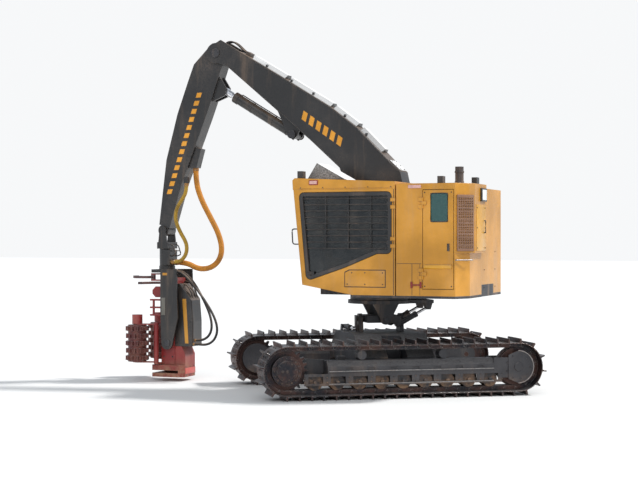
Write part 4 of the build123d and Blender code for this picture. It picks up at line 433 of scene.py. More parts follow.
def worn_steel(name, colour, shine, rust=0.5, soil=0.3, metallic=0.75, scale=24):
    """Bare working steel: polished where it rubs, rusty and soiled elsewhere."""
    net = Net(name)
    broad = net.noise(2.2, 6)
    fine = net.noise(scale, 6, 0.7)
    grain = net.noise(scale * 6, 3)
    edge_mask, rounded = net.edges(0.014, 0.03, 0.3)
    base = net.mix(net.ramp(fine, 0.3, 0.7), tuple(c * 0.55 for c in colour), colour)
    rusty = net.math("MULTIPLY", net.ramp(broad, 0.36, 0.6), rust)
    rusty = net.math("ADD", rusty, net.math("MULTIPLY", net.ramp(fine, 0.5, 0.7), rust * 0.6))
    base = net.mix(rusty, base, net.mix(grain, RUST, tuple(c * 2.2 for c in RUST)))
    soiled = net.math("MULTIPLY", net.ramp(net.noise(7, 6, 0.7), 0.5, 0.72), soil)
    base = net.mix(soiled, base, net.mix(grain, SOIL, DUST))
    polished = net.math("MULTIPLY", edge_mask, net.ramp(fine, 0.3, 0.6, 0.3, 1.0))
    base = net.mix(net.math("MULTIPLY", polished, shine), base, (0.55, 0.53, 0.50))
    # Upward faces lighten toward pale grey: partly dust, partly a painted highlight of the sun on the tops
    base = net.mix(net.math("MULTIPLY", net.upward(0.7, 0.98), 0.55), base, PALE)
    net.join(base, net.shader.inputs["Base Color"])
    dull = net.math("ADD", rusty, soiled)
    net.join(net.ramp(dull, 0.0, 0.8, metallic, 0.05), net.shader.inputs["Metallic"])
    net.join(net.ramp(dull, 0.0, 0.8, 0.38, 0.85), net.shader.inputs["Roughness"])
    net.bump(net.math("ADD", net.math("MULTIPLY", fine, 0.7), net.math("MULTIPLY", grain, 0.3)),
             0.003, rounded)
    return net.material


def lens_finish(name, colour):
    """Ribbed lamp lens, a little dusty."""
    net = Net(name)
    ribs = net.add("ShaderNodeTexWave", wave_type="BANDS", bands_direction="X")
    net.join(net.place.outputs["Object"], ribs.inputs["Vector"])
    ribs.inputs["Scale"].default_value = 40
    haze = net.ramp(net.noise(20, 4), 0.4, 0.7, 0, 0.5)
    net.join(net.mix(haze, colour, tuple(c * 0.7 for c in colour)), net.shader.inputs["Base Color"])
    net.shader.inputs["Roughness"].default_value = 0.12
    net.bump(ribs.outputs["Fac"], 0.001)
    return net.material


def chrome(name):
    """Hard chromed rod with a film of oil and dust."""
    net = Net(name)
    fine = net.noise(60, 4)
    net.join(net.mix(net.ramp(net.noise(6, 4), 0.5, 0.75, 0, 0.35), (0.78, 0.78, 0.80), (0.30, 0.24, 0.18)),
             net.shader.inputs["Base Color"])
    net.shader.inputs["Metallic"].default_value = 1.0
    net.join(net.ramp(fine, 0.3, 0.7, 0.10, 0.24), net.shader.inputs["Roughness"])
    net.bump(fine, 0.0002)
    return net.material


def glass(name):
    """Dark tinted pane with a film of dust."""
    net = Net(name)
    film = net.math("MULTIPLY", net.ramp(net.noise(2.0, 6), 0.4, 0.75), 0.35)
    net.join(net.mix(film, (0.012, 0.016, 0.018), (0.16, 0.13, 0.10)), net.shader.inputs["Base Color"])
    net.join(net.ramp(net.noise(9, 5), 0.3, 0.7, 0.03, 0.16), net.shader.inputs["Roughness"])
    net.shader.inputs["Alpha"].default_value = 0.72
    net.shader.inputs["Specular IOR Level"].default_value = 0.7
    return net.material


def rubber(name, colour=(0.018, 0.018, 0.019)):
    """Hose rubber, a little dusty."""
    net = Net(name)
    fine = net.noise(90, 4)
    dusty = net.math("MULTIPLY", net.upward(-0.2, 0.9), net.ramp(net.noise(5, 5), 0.35, 0.7, 0.1, 0.5))
    net.join(net.mix(dusty, colour, DUST), net.shader.inputs["Base Color"])
    net.shader.inputs["Roughness"].default_value = 0.55
    net.bump(fine, 0.0006)
    return net.material


def sleeve(name, colour):
    """Woven hose sleeve: fine weave, stained where it rubs."""
    net = Net(name)
    weave = net.add("ShaderNodeTexWave", wave_type="BANDS", bands_direction="DIAGONAL")
    net.join(net.place.outputs["Object"], weave.inputs["Vector"])
    weave.inputs["Scale"].default_value = 55
    weave.inputs["Distortion"].default_value = 1.2
    cross = net.add("ShaderNodeTexWave", wave_type="BANDS", bands_direction="Z")
    net.join(net.place.outputs["Object"], cross.inputs["Vector"])
    cross.inputs["Scale"].default_value = 70
    cross.inputs["Distortion"].default_value = 1.5
    threads = net.math("MULTIPLY", weave.outputs["Fac"], cross.outputs["Fac"])
    stain = net.ramp(net.noise(6, 6, 0.7), 0.42, 0.72, 0, 0.75)
    shade = net.mix(threads, tuple(c * 0.62 for c in colour), colour)
    net.join(net.mix(stain, shade, tuple(c * 0.32 for c in colour)), net.shader.inputs["Base Color"])
    net.shader.inputs["Roughness"].default_value = 0.72
    net.shader.inputs["Sheen Weight"].default_value = 0.15
    net.bump(threads, 0.0015)
    return net.material


def cloth(name):
    """Dark seat cloth."""
    net = Net(name)
    weave = net.noise(320, 2)
    net.join(net.mix(weave, (0.025, 0.026, 0.028), (0.06, 0.06, 0.065)), net.shader.inputs["Base Color"])
    net.shader.inputs["Roughness"].default_value = 0.9
    net.shader.inputs["Sheen Weight"].default_value = 0.2
    net.bump(weave, 0.001)
    return net.material


YELLOW = (0.60, 0.262, 0.010)
RED = (0.25, 0.012, 0.012)
BLACK = (0.018, 0.018, 0.019)
DARK = (0.022, 0.022, 0.027)

finishes = {
    "yellow_paint": paint("yellow paint", YELLOW, 0.34, dust=0.34, chips=0.7, coat=0.25, edge=0.014),
    "black_paint": paint("black paint", BLACK, 0.36, dust=0.30, chips=0.6, fade=0.10, coat=0.15),
    "red_paint": paint("red paint", RED, 0.38, dust=0.30, chips=0.9, fade=0.12, soil=(0.0, 0.5), coat=0.1),
    "dark_steel": paint("dark steel", DARK, 0.5, dust=0.35, chips=0.6, fade=0.15,
                        soil=(0.1, 0.6), film=PALE),
    "track_steel": worn_steel("track steel", (0.030, 0.032, 0.040), 0.6, rust=0.22, soil=0.12),
    "chrome_rod": chrome("chrome rod"),
    "tinted_glass": glass("tinted glass"),
    "grille_mesh": paint("grille mesh", (0.26, 0.13, 0.075), 0.6, dust=0.6, chips=0.4),
    "seat_cover": cloth("seat cloth"),
    "supply_yellow": sleeve("supply sleeve", (0.62, 0.36, 0.03)),
    "orange_sleeve": sleeve("orange sleeve", (0.80, 0.30, 0.02)),
    "hose_rubber": rubber("hose rubber"),
    "knife_steel": worn_steel("knife steel", (0.11, 0.09, 0.11), 0.9, rust=0.3, soil=0.2),
}

# Black paint under a near-white film on its upward faces: partly dust, partly a painted highlight where the
# sun strikes the tops
dust_and_highlight_top = paint("dust and painted highlight top", BLACK, 0.30, dust=1.0, chips=0.3, fade=0.08, coat=0.2, film=(0.80, 0.79, 0.77),
                 cover=0.9)
track_frame = paint("track frame", (0.030, 0.028, 0.032), 0.45, dust=0.28, chips=0.5, fade=0.08,
                    soil=(0.0, 0.4), film=PALE)
feed_steel = worn_steel("feed roller steel", (0.13, 0.035, 0.040), 0.5, rust=0.25, soil=0.2, metallic=0.4)
grey_steel = paint("grey steel", (0.17, 0.16, 0.135), 0.5, dust=0.4, chips=0.6, film=PALE)
bare_steel = worn_steel("bare steel", (0.42, 0.41, 0.40), 1.0, rust=0.2, soil=0.15)
# A lighter copy of the yellow paint: painted sunlight for faces that the sun strikes
lit_yellow = paint("lit yellow", (0.72, 0.35, 0.018), 0.34, dust=0.5, chips=0.6, coat=0.25)
# A lighter copy of the red paint: painted sunlight for faces that the sun strikes
lit_red = paint("lit red", (0.62, 0.10, 0.085), 0.34, dust=0.3, chips=0.6)
orange_marks = paint("orange marks", (0.85, 0.36, 0.02), 0.4, dust=0.35, chips=0.9)
brass = worn_steel("hose fittings", (0.50, 0.26, 0.08), 0.8, rust=0.35, soil=0.25, metallic=0.6)
teal_glass = lens_finish("teal glass", (0.025, 0.085, 0.080))
lens_pink = lens_finish("pink lens", (0.72, 0.42, 0.38))
lens_clear = lens_finish("clear lens", (0.82, 0.84, 0.82))

# Nodes whose finish differs from the rest of their slot; the boom's covers and the roof guard take black
# paint under a near-white top film, partly dust and partly painted highlight
special = {"boom_covers": dust_and_highlight_top, "roof_guard": dust_and_highlight_top, "track_frame_left": track_frame,
           "track_frame_right": track_frame, "lamps": finishes["black_paint"],
           "feed_roller_left": feed_steel, "feed_roller_right": feed_steel}


def dress_nodes():
    """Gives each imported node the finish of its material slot, or its own."""
    for part in frame["record"]["subparts"]:
        node = frame["nodes"][part["node"]]
        node.data.materials.clear()
        node.data.materials.append(special.get(part["node"], finishes[part["material_slot"]]))


def chain_spot(station, lift, y):
    """A place outside the chain's pitch line by lift, at a station along it."""
    wrap = math.pi * WRAP
    station %= 2 * (AXLE_GAP + wrap)
    radius = WRAP + lift
    if station < AXLE_GAP:
        return Vector((station - AXLE_GAP / 2, y, AXLE_Z - radius))
    station -= AXLE_GAP
    if station < wrap:
        turn = station / WRAP
        return Vector((AXLE_GAP / 2 + radius * math.sin(turn), y, AXLE_Z - radius * math.cos(turn)))
    station -= wrap
    if station < AXLE_GAP:
        return Vector((AXLE_GAP / 2 - station, y, AXLE_Z + radius))
    turn = (station - AXLE_GAP) / WRAP
    return Vector((-AXLE_GAP / 2 - radius * math.sin(turn), y, AXLE_Z + radius * math.cos(turn)))


def dress_tracks():
    """Link plates, pins and shoe bolts, bolted hubs, the idler's guard and the rub rails."""
    link = ((-0.11, -0.030), (-0.06, -0.036), (0.04, -0.030), (0.11, -0.028), (0.12, 0.0), (0.11, 0.022),
            (0.04, 0.028), (-0.06, 0.028), (-0.11, 0.024), (-0.12, 0.0))
    for side, name in ((1, "left"), (-1, "right")):
        middle = side * TRACK_MID
        links = Kit("links_" + name, "undercarriage", "track_steel", TRACKS)
        bolts = Kit("shoe_bolts_" + name, "undercarriage", "track_steel", TRACKS)
        for count in range(SHOES):
            station = count * PITCH
            for edge in (-1, 1):
                low, high = sorted((middle + edge * 0.105, middle + edge * (0.109 + 0.004 * (count % 2))))
                links.loft([[chain_spot(station + PITCH / 2 + along, lift, y) for along, lift in link]
                            for y in (low, high)])
                links.rod(chain_spot(station, 0, middle + edge * 0.100),
                          chain_spot(station, 0, middle + edge * 0.122), 0.021, 12, 0.003)
            for along, across in ((-0.05, -0.075), (-0.05, 0.075), (0.05, -0.075), (0.05, 0.075)):
                foot = chain_spot(station + PITCH / 2 + along, SHOE_TOP, middle + across)
                lifted = chain_spot(station + PITCH / 2 + along, SHOE_TOP + 0.1, middle + across)
                bolts.bolt(foot, lifted - foot, 0.013)
        links.make()
        bolts.make()

        trim = Kit("hub_bolts_" + name, "undercarriage", "dark_steel", TRACKS)
        outward = (0, side, 0)
        sprocket = (AXLE_GAP / 2, middle + side * 0.175, AXLE_Z)
        trim.bolt_ring(sprocket, outward, 0.208, 16, 0.012)
        cap = (AXLE_GAP / 2, middle + side * 0.215, AXLE_Z)
        trim.bolt_ring(cap, outward, 0.140, 8, 0.011, 0.2)
        for x, z in ((0.0, 0.0), (0.075, 0.0)):
            trim.bolt((cap[0] + x, cap[1], cap[2] + z), outward, 0.019)
        for i in range(10):
            for z in (0.285, 0.365):
                trim.bolt((-1.6875 + 0.375 * i, middle + side * 0.205, z), outward, 0.010)
        for i in range(12):
            trim.bolt((-1.45 + 0.24 * i, middle + side * 0.150, 0.584), (0, side, 1), 0.009)
        trim.make()

        guard = Kit("idler_guard_" + name, "undercarriage", "dark_steel", TRACKS, 0.003, track_frame)
        face = middle + side * 0.205
        arc = [math.radians(90 + 180 * i / 24) for i in range(25)]
        outline = [(-AXLE_GAP / 2 + 0.272 * math.cos(t), AXLE_Z + 0.272 * math.sin(t)) for t in arc]
        outline = [(-1.80, AXLE_Z + 0.20)] + outline + [(-1.80, AXLE_Z - 0.20)]
        guard.slab(outline, "y", *sorted((face, face + side * 0.014)))
        guard.bolt_ring((-AXLE_GAP / 2, face + side * 0.014, AXLE_Z), outward, 0.205, 9, 0.011)
        hub_face = face + side * 0.034
        guard.rod((-AXLE_GAP / 2, face, AXLE_Z), (-AXLE_GAP / 2, hub_face, AXLE_Z), 0.075, 24, 0.006)
        guard.make()
        rim = Kit("idler_rim_" + name, "undercarriage", "dark_steel", TRACKS, 0, bare_steel)
        rim.pipe([(x, face + side * 0.012, z) for x, z in outline[1:-1]], 0.009, 0.01)
        for z in (0.258, 0.465):
            low, high = z - RAIL_WEAR / 2, z + RAIL_WEAR / 2
            rim.slab(((-1.54, low), (1.28, low), (1.28, high), (-1.54, high)), "y",
                     *sorted((middle + side * 0.218, middle + side * 0.2225)))
        rim.make()


def dress_cab():
    """Roof light, loop handle and panels of the cab's side, with painted shade along its seams."""
    bezel = Kit("marker_bezel", "upper_body", "red_paint", HERE, 0.006)
    bezel.box((0.584, 0.746), (1.448, 1.468), (3.520, 3.600))
    bezel.make()
    lens = Kit("marker_lens", "upper_body", "tinted_glass", HERE, 0.005, lens_pink)
    lens.box((0.598, 0.732), (1.466, 1.474), (3.534, 3.586))
    lens.make()
    handle = Kit("pillar_handle", "upper_body", "black_paint")
    handle.pipe(((0.945, 1.435, 2.53), (1.048, 1.435, 2.53), (1.062, 1.435, 2.785), (0.955, 1.435, 2.785)),
                0.011, 0.045)
    handle.make()
    panel = Kit("sill_panel", "upper_body", "yellow_paint", HERE, 0.004)
    outline = ((-0.60, 1.83), (0.10, 1.83), (0.10, 2.06), (0.02, 2.10), (-0.60, 2.10))
    panel.slab(outline, "y", 1.449, 1.456)
    panel.make()
    # Thin black strips round the sill panel and at the joint with the house: painted shade in the seams'
    # gaps
    seams = Kit("cab_seam_shade", "upper_body", "hose_rubber")
    seams.slab([(x + (0.012 if x > 0 else -0.012), z + (0.012 if z > 2 else -0.012)) for x, z in outline],
               "y", 1.4485, 1.4515)
    seams.box((-0.752, -0.742), (1.4485, 1.4512), (1.70, 3.43))
    seams.make()
    bolts = Kit("cab_bolts", "upper_body", "dark_steel")
    for x, z in ((-0.56, 1.87), (0.06, 1.87), (-0.56, 2.06), (-0.02, 2.06), (-0.25, 1.87), (-0.25, 2.06)):
        bolts.bolt((x, 1.456, z), (0, 1, 0), 0.008)
    for x in (-0.70, -0.30, 0.10, 0.50, 0.90):
        bolts.bolt((x, 1.450, 3.475), (0, 1, 0), 0.007)
    bolts.make()
    pull = Kit("door_pull", "cab_door", "black_paint", HERE, 0.003)
    pull.box((0.655, 0.795), (1.449, 1.458), (2.02, 2.075))
    pull.pipe(((0.675, 1.452, 2.048), (0.675, 1.478, 2.048), (0.775, 1.478, 2.048), (0.775, 1.452, 2.048)),
              0.008, 0.015)
    pull.make()
    roof = Kit("roof_ribs", "upper_body", "yellow_paint", HERE, 0.004)
    roof.box((-0.72, 0.95), (1.4495, 1.4545), (3.452, 3.462))
    roof.make()
    guard = Kit("roof_guard_weld", "upper_body", "black_paint")
    for y in (0.664, 1.206):
        guard.weld(((0.17, y, 3.612), (0.86, y, 3.632)), 0.006)
    guard.make()


def dress_house():
    """Painted seam shade, then the ledge, handle, window, lamps and corner rail of the engine house."""
    # Thin black strips at the panel joints: painted shade in the seams' gaps
    seams = Kit("house_seam_shade", "upper_body", "hose_rubber")
    for x in ((-1.068, -1.060), (-1.200, -1.194)):
        seams.box(x, (1.4485, 1.4512), (1.70, 2.21))
    seams.box((-1.222, -0.80), (1.4485, 1.4512), (2.212, 2.219))
    seams.make()
    # The ledge takes the lighter yellow copy: painted sunlight on its top face
    ledge = Kit("door_ledge", "house_door", "yellow_paint", HERE, 0.004, lit_yellow)
    ledge.slab(((1.449, 2.13), (1.474, 2.15), (1.474, 2.19), (1.449, 2.21)), "x", -1.735, -1.268)
    ledge.make()
    fittings = Kit("door_fittings", "house_door", "black_paint", HERE, 0.002)
    fittings.box((-1.70, -1.66), (1.449, 1.462), (2.42, 2.54))
    fittings.rod((-1.68, 1.455, 2.48), (-1.68, 1.470, 2.48), 0.014, 16, 0.002)
    for x, z in ((-1.73, 1.85), (-1.73, 3.37), (-1.28, 3.37), (-1.28, 1.85)):
        fittings.bolt((x, 1.450, z), (0, 1, 0), 0.008)
    fittings.make()
    pane = Kit("house_window", "house_door", "tinted_glass", HERE, 0, teal_glass)
    pane.box((-1.665, -1.385), (1.4385, 1.4425), (2.897, 3.353))
    pane.make()
    gasket = Kit("window_gasket", "house_door", "hose_rubber")
    corners = ((-1.525, 1.446, 3.357), (-1.669, 1.446, 3.357), (-1.669, 1.446, 2.893),
               (-1.381, 1.446, 2.893), (-1.381, 1.446, 3.357), (-1.524, 1.446, 3.357))
    gasket.pipe(corners, 0.009, 0.04, 8)
    gasket.make()
    handle = Kit("house_handle", "upper_body", "red_paint", HERE, 0.003)
    for x in (-1.215, -1.06):
        handle.box((x - 0.016, x + 0.016), (1.449, 1.474), (1.82, 1.92))
    handle.rod((-1.222, 1.464, 1.87), (-1.052, 1.464, 1.87), 0.011)
    handle.make()
    edge = Kit("roof_edge_lamp", "upper_body", "tinted_glass", HERE, 0.006, lens_pink)
    edge.box((-1.22, -1.00), (1.449, 1.470), (3.442, 3.494))
    edge.make()
    rail = Kit("corner_rail", "upper_body", "yellow_paint", HERE, 0, bare_steel)
    across = Vector((-0.81, 0.589, 0))
    first, last = Vector((-1.79, 1.433, 2.277)), Vector((-1.99, 1.161, 2.277))
    rail.pipe((first, first + across * 0.026, last + across * 0.026, last), 0.010, 0.02)
    rail.make()
    slats = Kit("grille_slats", "upper_body", "grille_mesh")
    for i in range(34):
        z = 2.445 + 0.0262 * i
        slats.rod(Vector((-1.822, 1.416, z)) + across * 0.006, Vector((-2.012, 1.158, z)) + across * 0.006,
                  0.006, 6)
    slats.make()
    # A thin sheet on the rear face in the lighter yellow copy: painted sunlight
    back = Kit("rear_sunlit_panel", "upper_body", "yellow_paint", HERE, 0.006, lit_yellow)
    back.box((-2.040, -2.029), (0.50, 1.06), (2.42, 3.18))
    back.make()
    light = Kit("work_light", "upper_body", "black_paint", HERE, 0.006)
    light.box((-2.062, -2.029), (0.50, 0.80), (3.235, 3.455))
    light.make()
    lens = Kit("work_light_lens", "upper_body", "tinted_glass", HERE, 0.004, lens_clear)
    lens.box((-2.068, -2.060), (0.525, 0.775), (3.26, 3.43))
    lens.make()
    trim = Kit("house_bolts", "upper_body", "dark_steel")
    for z in (2.47, 2.80, 3.13):
        for y in (0.54, 1.02):
            trim.bolt((-2.040, y, z), (-1, 0, 0), 0.009)
    trim.pipe(((-2.040, 0.60, 2.72), (-2.066, 0.60, 2.72), (-2.066, 0.60, 2.92), (-2.040, 0.60, 2.92)),
              0.009, 0.015)
    for z in (1.80, 2.10, 2.40):
        for y in (-1.30, -0.50, 0.20):
            trim.bolt((-1.930 + (0.12 if y < -1.2 else 0), y, z), (-1, 0, 0), 0.009)
    trim.tube((-1.25, -0.65, 3.60), (-1.25, -0.65, 3.635), 0.083, 0.074)
    trim.tube((-1.25, -0.65, 3.78), (-1.25, -0.65, 3.815), 0.083, 0.074)
    trim.make()


def dress_lamps_and_tank():
    """Lenses of the lamps, and the tank's caps, steps and grab rails."""
    lens = Kit("lamp_lenses", "upper_body", "tinted_glass", HERE, 0.002, lens_clear)
    for y in (0.560, 1.310):
        lens.rod((0.984, y, 3.70), (0.990, y, 3.70), 0.046, 24, 0.002)
    lens.make()
    tank = Kit("tank_caps", "upper_body", "dark_steel")
    for x, radius in ((-0.35, 0.075), (0.25, 0.055)):
        tank.rod((x, -0.90, 2.895), (x, -0.90, 2.935), radius, 24, 0.006)
        tank.rod((x, -0.90, 2.930), (x, -0.90, 2.955), radius * 0.6, 6, 0.004)
    for z in (1.86, 2.16, 2.46):
        tank.pipe(((0.745, -1.30, z), (0.80, -1.30, z), (0.80, -1.00, z), (0.745, -1.00, z)), 0.012, 0.04)
    tank.pipe(((0.745, -0.95, 1.90), (0.79, -0.95, 1.90), (0.79, -0.95, 2.75), (0.745, -0.95, 2.75)),
              0.013, 0.05)
    tank.make()


def slanted_bar(form, corner, ahead, up, start, width, height, y):
    """One bar of a row of markings, leaning along the row, on a face across Y."""
    lean = height * 0.35
    spots = ((start, 0), (start + width, 0), (start + width + lean, height), (start + lean, height))
    outline = [(corner[0] + ahead[0] * a + up[0] * b, corner[1] + ahead[1] * a + up[1] * b)
               for a, b in spots]
    form.slab(outline, "y", *y)


def dress_boom():
    """Markings, welds, heel plate and pins of the boom."""
    marks = Kit("boom_marks", "boom", "orange_sleeve", HERE, 0, orange_marks)
    for y in ((0.2095, 0.2120), (-0.2120, -0.2095)):
        for i in range(6):
            slanted_bar(marks, (0.66, 4.235), (0.825, 0.565), (-0.565, 0.825), 0.16 * i, 0.10, 0.150, y)
    marks.make()
    welds = Kit("boom_welds", "boom", "black_paint")
    top = ((-0.40, 3.79), (-0.22, 3.970), (0.350, 4.543), (0.850, 4.922), (1.700, 5.441), (2.870, 6.139))
    belly = ((0.10, 3.210), (0.410, 3.350), (0.560, 3.580), (0.680, 3.890), (1.200, 4.358), (1.920, 4.970),
             (2.890, 5.786))
    for y in (0.2105, -0.2105):
        for line in (top, belly):
            welds.weld([(x, y, z) for x, z in line], 0.007, 0.014)
    welds.make()
    # The heel plate takes black paint under a near-white top film: dust and painted highlight
    heel = Kit("heel_plate", "boom", "black_paint", HERE, 0.003, dust_and_highlight_top)
    along = Vector((-0.220, 0, -0.203))
    rise = Vector((-0.678, 0, 0.735)) * 0.012
    start = Vector((-0.222, 0, 3.990))
    heel.loft([[start + along * share + rise * lift + Vector((0, y, 0)) for lift, y in
                ((-0.6, -0.17), (-0.6, 0.17), (0.9, 0.17), (0.9, -0.17))] for share in (0.05, 0.95)])
    heel.make()
    pins = Kit("boom_pins", "boom", "dark_steel")
    for side in (1, -1):
        out = (0, side, 0)
        pins.rod((3.10, side * 0.205, 6.00), (3.10, side * 0.232, 6.00), 0.085, 28, 0.005)
        pins.bolt_ring((3.10, side * 0.232, 6.00), out, 0.085 * 0.68, 4, 0.012, 0.4)
        pins.rod((1.60, side * 0.205, 4.48), (1.60, side * 0.222, 4.48), 0.075, 28, 0.004)
        pins.bolt_ring((1.60, side * 0.222, 4.48), out, 0.05, 3, 0.010)
    for share in (0.15, 0.50, 0.85):
        for y in (-0.035, 0.035):
            spot = start + along * share + rise * 0.9 + Vector((0, y * 3, 0))
            pins.bolt(spot, rise, 0.010)
    pins.make()
    tower = Kit("foot_pins", "upper_body", "dark_steel")
    for side in (1, -1):
        tower.rod((-0.35, side * 0.258, 2.90), (-0.35, side * 0.284, 2.90), 0.085, 28, 0.005)
        tower.bolt_ring((-0.35, side * 0.284, 2.90), (0, side, 0), 0.058, 4, 0.012, 0.4)
    tower.make()
    # Bands in black paint under a near-white top film: dust and painted highlight
    bands = Kit("cover_bands", "boom", "black_paint", HERE, 0, dust_and_highlight_top)
    for x, z in ((0.20, 4.455), (0.60, 4.795), (1.20, 5.205), (1.62, 5.45), (2.10, 5.738)):
        bands.box((x - 0.016, x + 0.016), (-0.158, 0.158), (z - 0.03, z + 0.012))
    bands.make()


def dress_rams():
    """Gland collars, ports and feed pipes of the boom's and the stick's rams."""
    for name, body, base, eye, across, radius, length in (
            ("stick_ram", "stick_barrel", (1.60, 4.48), (2.99, 5.32), (0,), 0.092, 1.400),
            ("hoist_rams", "hoist_barrels", (0.83, 1.99), (0.38, 3.43), (-0.342, 0.342), 0.064, 1.190)):
        ahead = Vector((eye[0] - base[0], 0, eye[1] - base[1])).normalized()
        up = Vector((-ahead.z, 0, ahead.x)) * (1 if body == "stick_barrel" else -1)
        trim = Kit(name + "_trim", body, "black_paint")
        collars = Kit(name + "_collars", body, "dark_steel")
        for y in across:
            foot = Vector((base[0], y, base[1]))
            for start, end, lift in ((length - 0.075, length - 0.045, 0.006), (0.16, 0.18, 0.005)):
                collars.tube(foot + ahead * start, foot + ahead * end, radius + lift, radius - 0.004, 32)
            collars.bolt_ring(foot + ahead * (length - 0.045), ahead, radius - 0.020, 8, 0.008)
            pipe_lift = radius + 0.016
            trim.pipe((foot + ahead * 0.20 + up * (radius - 0.01), foot + ahead * 0.20 + up * pipe_lift,
                       foot + ahead * (length - 0.11) + up * pipe_lift,
                       foot + ahead * (length - 0.11) + up * (radius - 0.01)), 0.010, 0.012)
            for share in (0.35, 0.70):
                spot = foot + ahead * length * share
                trim.tube(spot, spot + ahead * 0.022, radius + 0.004, radius - 0.003, 24)
        trim.make()
        collars.make()


def dress_stick():
    """Markings and the hoses' upper fittings on the stick."""
    down, ahead = (0.3232, -0.9462), (0.9462, 0.3232)
    marks = Kit("stick_marks", "stick", "orange_sleeve", HERE, 0, orange_marks)
    for y in ((0.1495, 0.1520), (-0.1520, -0.1495)):
        for i in range(13):
            slanted_bar(marks, (3.40, 5.30), down, ahead, 0.155 * i, 0.095, 0.095, y)
    marks.make()
    ends = Kit("stick_hose_ends", "stick", "orange_sleeve", HERE, 0, brass)
    for x, y, z, radius in ((3.592, 0.020, 3.925, 0.056), (3.700, 0.188, 3.640, 0.040)):
        ends.tube((x, y, z - 0.05), (x, y, z + 0.006), radius, radius * 0.80)
        ends.rod((x, y, z - 0.004), (x, y, z + 0.020), radius * 0.92, 6, 0.003)
    ends.make()


def dress_head():
    """Stripe, plates, fittings, bolts and bail of the processor head."""
    stripe = Kit("cover_stripe", "head", "yellow_paint", HERE, 0, finishes["yellow_paint"])
    for y in ((0.1995, 0.2020), (-0.2020, -0.1995)):
        stripe.slab(((3.652, 0.70), (3.724, 0.70), (3.782, 1.52), (3.700, 1.52)), "y", *y)
    stripe.make()
    plate = Kit("bracket_plate", "tilt_bracket", "yellow_paint", HERE, 0.003, finishes["yellow_paint"])
    for side in (1, -1):
        plate.box((4.02, 4.12), sorted((side * 0.30, side * 0.337)), (1.95, 1.998))
    plate.make()
    arm = Kit("arm_plates", "tilt_bracket", "black_paint", HERE, 0.004, grey_steel)
    pins = Kit("tilt_pins", "tilt_bracket", "dark_steel")
    for side in (1, -1):
        pins.rod((4.03, side * 0.333, 0.705), (4.03, side * 0.352, 0.705), 0.068, 28, 0.004)
        pins.bolt_ring((4.03, side * 0.352, 0.705), (0, side, 0), 0.045, 4, 0.009)
    pins.make()
    arm.box((4.06, 4.14), (0.333, 0.344), (1.22, 1.54))
    arm.make()
    fittings = Kit("bracket_fittings", "tilt_bracket", "orange_sleeve", HERE, 0, brass)
    for y in (0.110, 0.200):
        fittings.rod((3.950, y, 2.030), (4.014, y, 2.030), 0.030, 6, 0.003)
        fittings.tube((3.925, y, 2.030), (3.955, y, 2.030), 0.027, 0.0222, 20)
    fittings.make()
    ends = Kit("cover_fittings", "head", "orange_sleeve", HERE, 0, brass)
    for y, z in ((0.112, 0.757), (0.172, 0.690)):
        ends.rod((3.535, y, z), (3.570, y, z), 0.029, 6, 0.003)
    ends.make()
    couplings = Kit("hanger_fittings", "hanger", "orange_sleeve", HERE, 0, brass)
    for y, z, radius in ((0.005, 2.190, 0.057), (0.125, 2.187, 0.041)):
        couplings.tube((3.975, y, z), (4.030, y, z), radius, radius * 0.82)
        couplings.rod((4.026, y, z), (4.052, y, z), radius * 0.94, 6, 0.003)
    couplings.make()
    bail = Kit("hose_bail", "hanger", "black_paint")
    for y in (-0.10, 0.10):
        bail.pipe(((4.075, y, 2.520), (4.020, y, 2.500), (3.962, y, 2.330), (4.055, y, 2.300)), 0.011, 0.04)
    bail.rod((3.985, -0.10, 2.40), (3.985, 0.10, 2.40), 0.010)
    bail.make()
    bolts = Kit("head_bolts", "head", "dark_steel")
    for side in (1, -1):
        for x, z in ((3.62, 1.10), (3.66, 1.44), (3.86, 1.72), (3.89, 0.72), (3.61, 0.72), (3.89, 1.20)):
            bolts.bolt((x, side * 0.200, z), (0, side, 0), 0.010)
        for x, z in ((3.98, 0.45), (4.15, 0.45), (3.98, 1.00), (4.16, 1.00), (4.16, 1.45), (3.98, 1.80)):
            bolts.bolt((x, side * 0.205, z), (0, side, 0), 0.012)
    for y in (-0.16, 0.0, 0.16):
        bolts.bolt((3.724, y, 0.110), (-1, 0, 0), 0.010)
        bolts.bolt((3.724, y, 0.270), (-1, 0, 0), 0.010)
    bolts.make()
    lines = Kit("head_lines", "head", "hose_rubber")
    for y, x, top in ((-0.13, 3.945, 1.80), (-0.06, 3.950, 1.72), (0.06, 3.950, 1.76), (0.13, 3.945, 1.66)):
        lines.pipe(((3.60, y, 1.40), (3.56 + 0.10, y, 1.62), (3.74, y, top), (3.90, y, top + 0.04),
                    (x, y, top - 0.10)), 0.013, 0.05)
    lines.make()
    blocks = Kit("head_valves", "head", "dark_steel", HERE, 0.004, grey_steel)
    for z, height in ((1.22, 0.10), (1.40, 0.07), (0.86, 0.12)):
        blocks.box((3.930, 3.990), (0.204, 0.238), (z, z + height))
        blocks.rod((3.945, 0.221, z + height), (3.945, 0.221, z + height + 0.035), 0.013, 6, 0.002)
        blocks.rod((3.975, 0.221, z + height), (3.975, 0.221, z + height + 0.035), 0.013, 6, 0.002)
    blocks.make()
    # A thin sheet on the saw box's rear face in the lighter red copy: painted sunlight
    lit = Kit("saw_box_sunlit_panel", "head", "red_paint", HERE, 0.004, lit_red)
    lit.box((3.714, 3.726), (-0.20, 0.20), (0.135, 0.245))
    lit.make()
    welds = Kit("head_welds", "head", "red_paint")
    for side in (1, -1):
        welds.weld(((3.935, side * 0.2055, 0.32), (3.935, side * 0.2055, 1.88)), 0.006)
        welds.weld(((4.205, side * 0.2055, 0.66), (4.205, side * 0.2055, 1.70)), 0.006)
    welds.make()


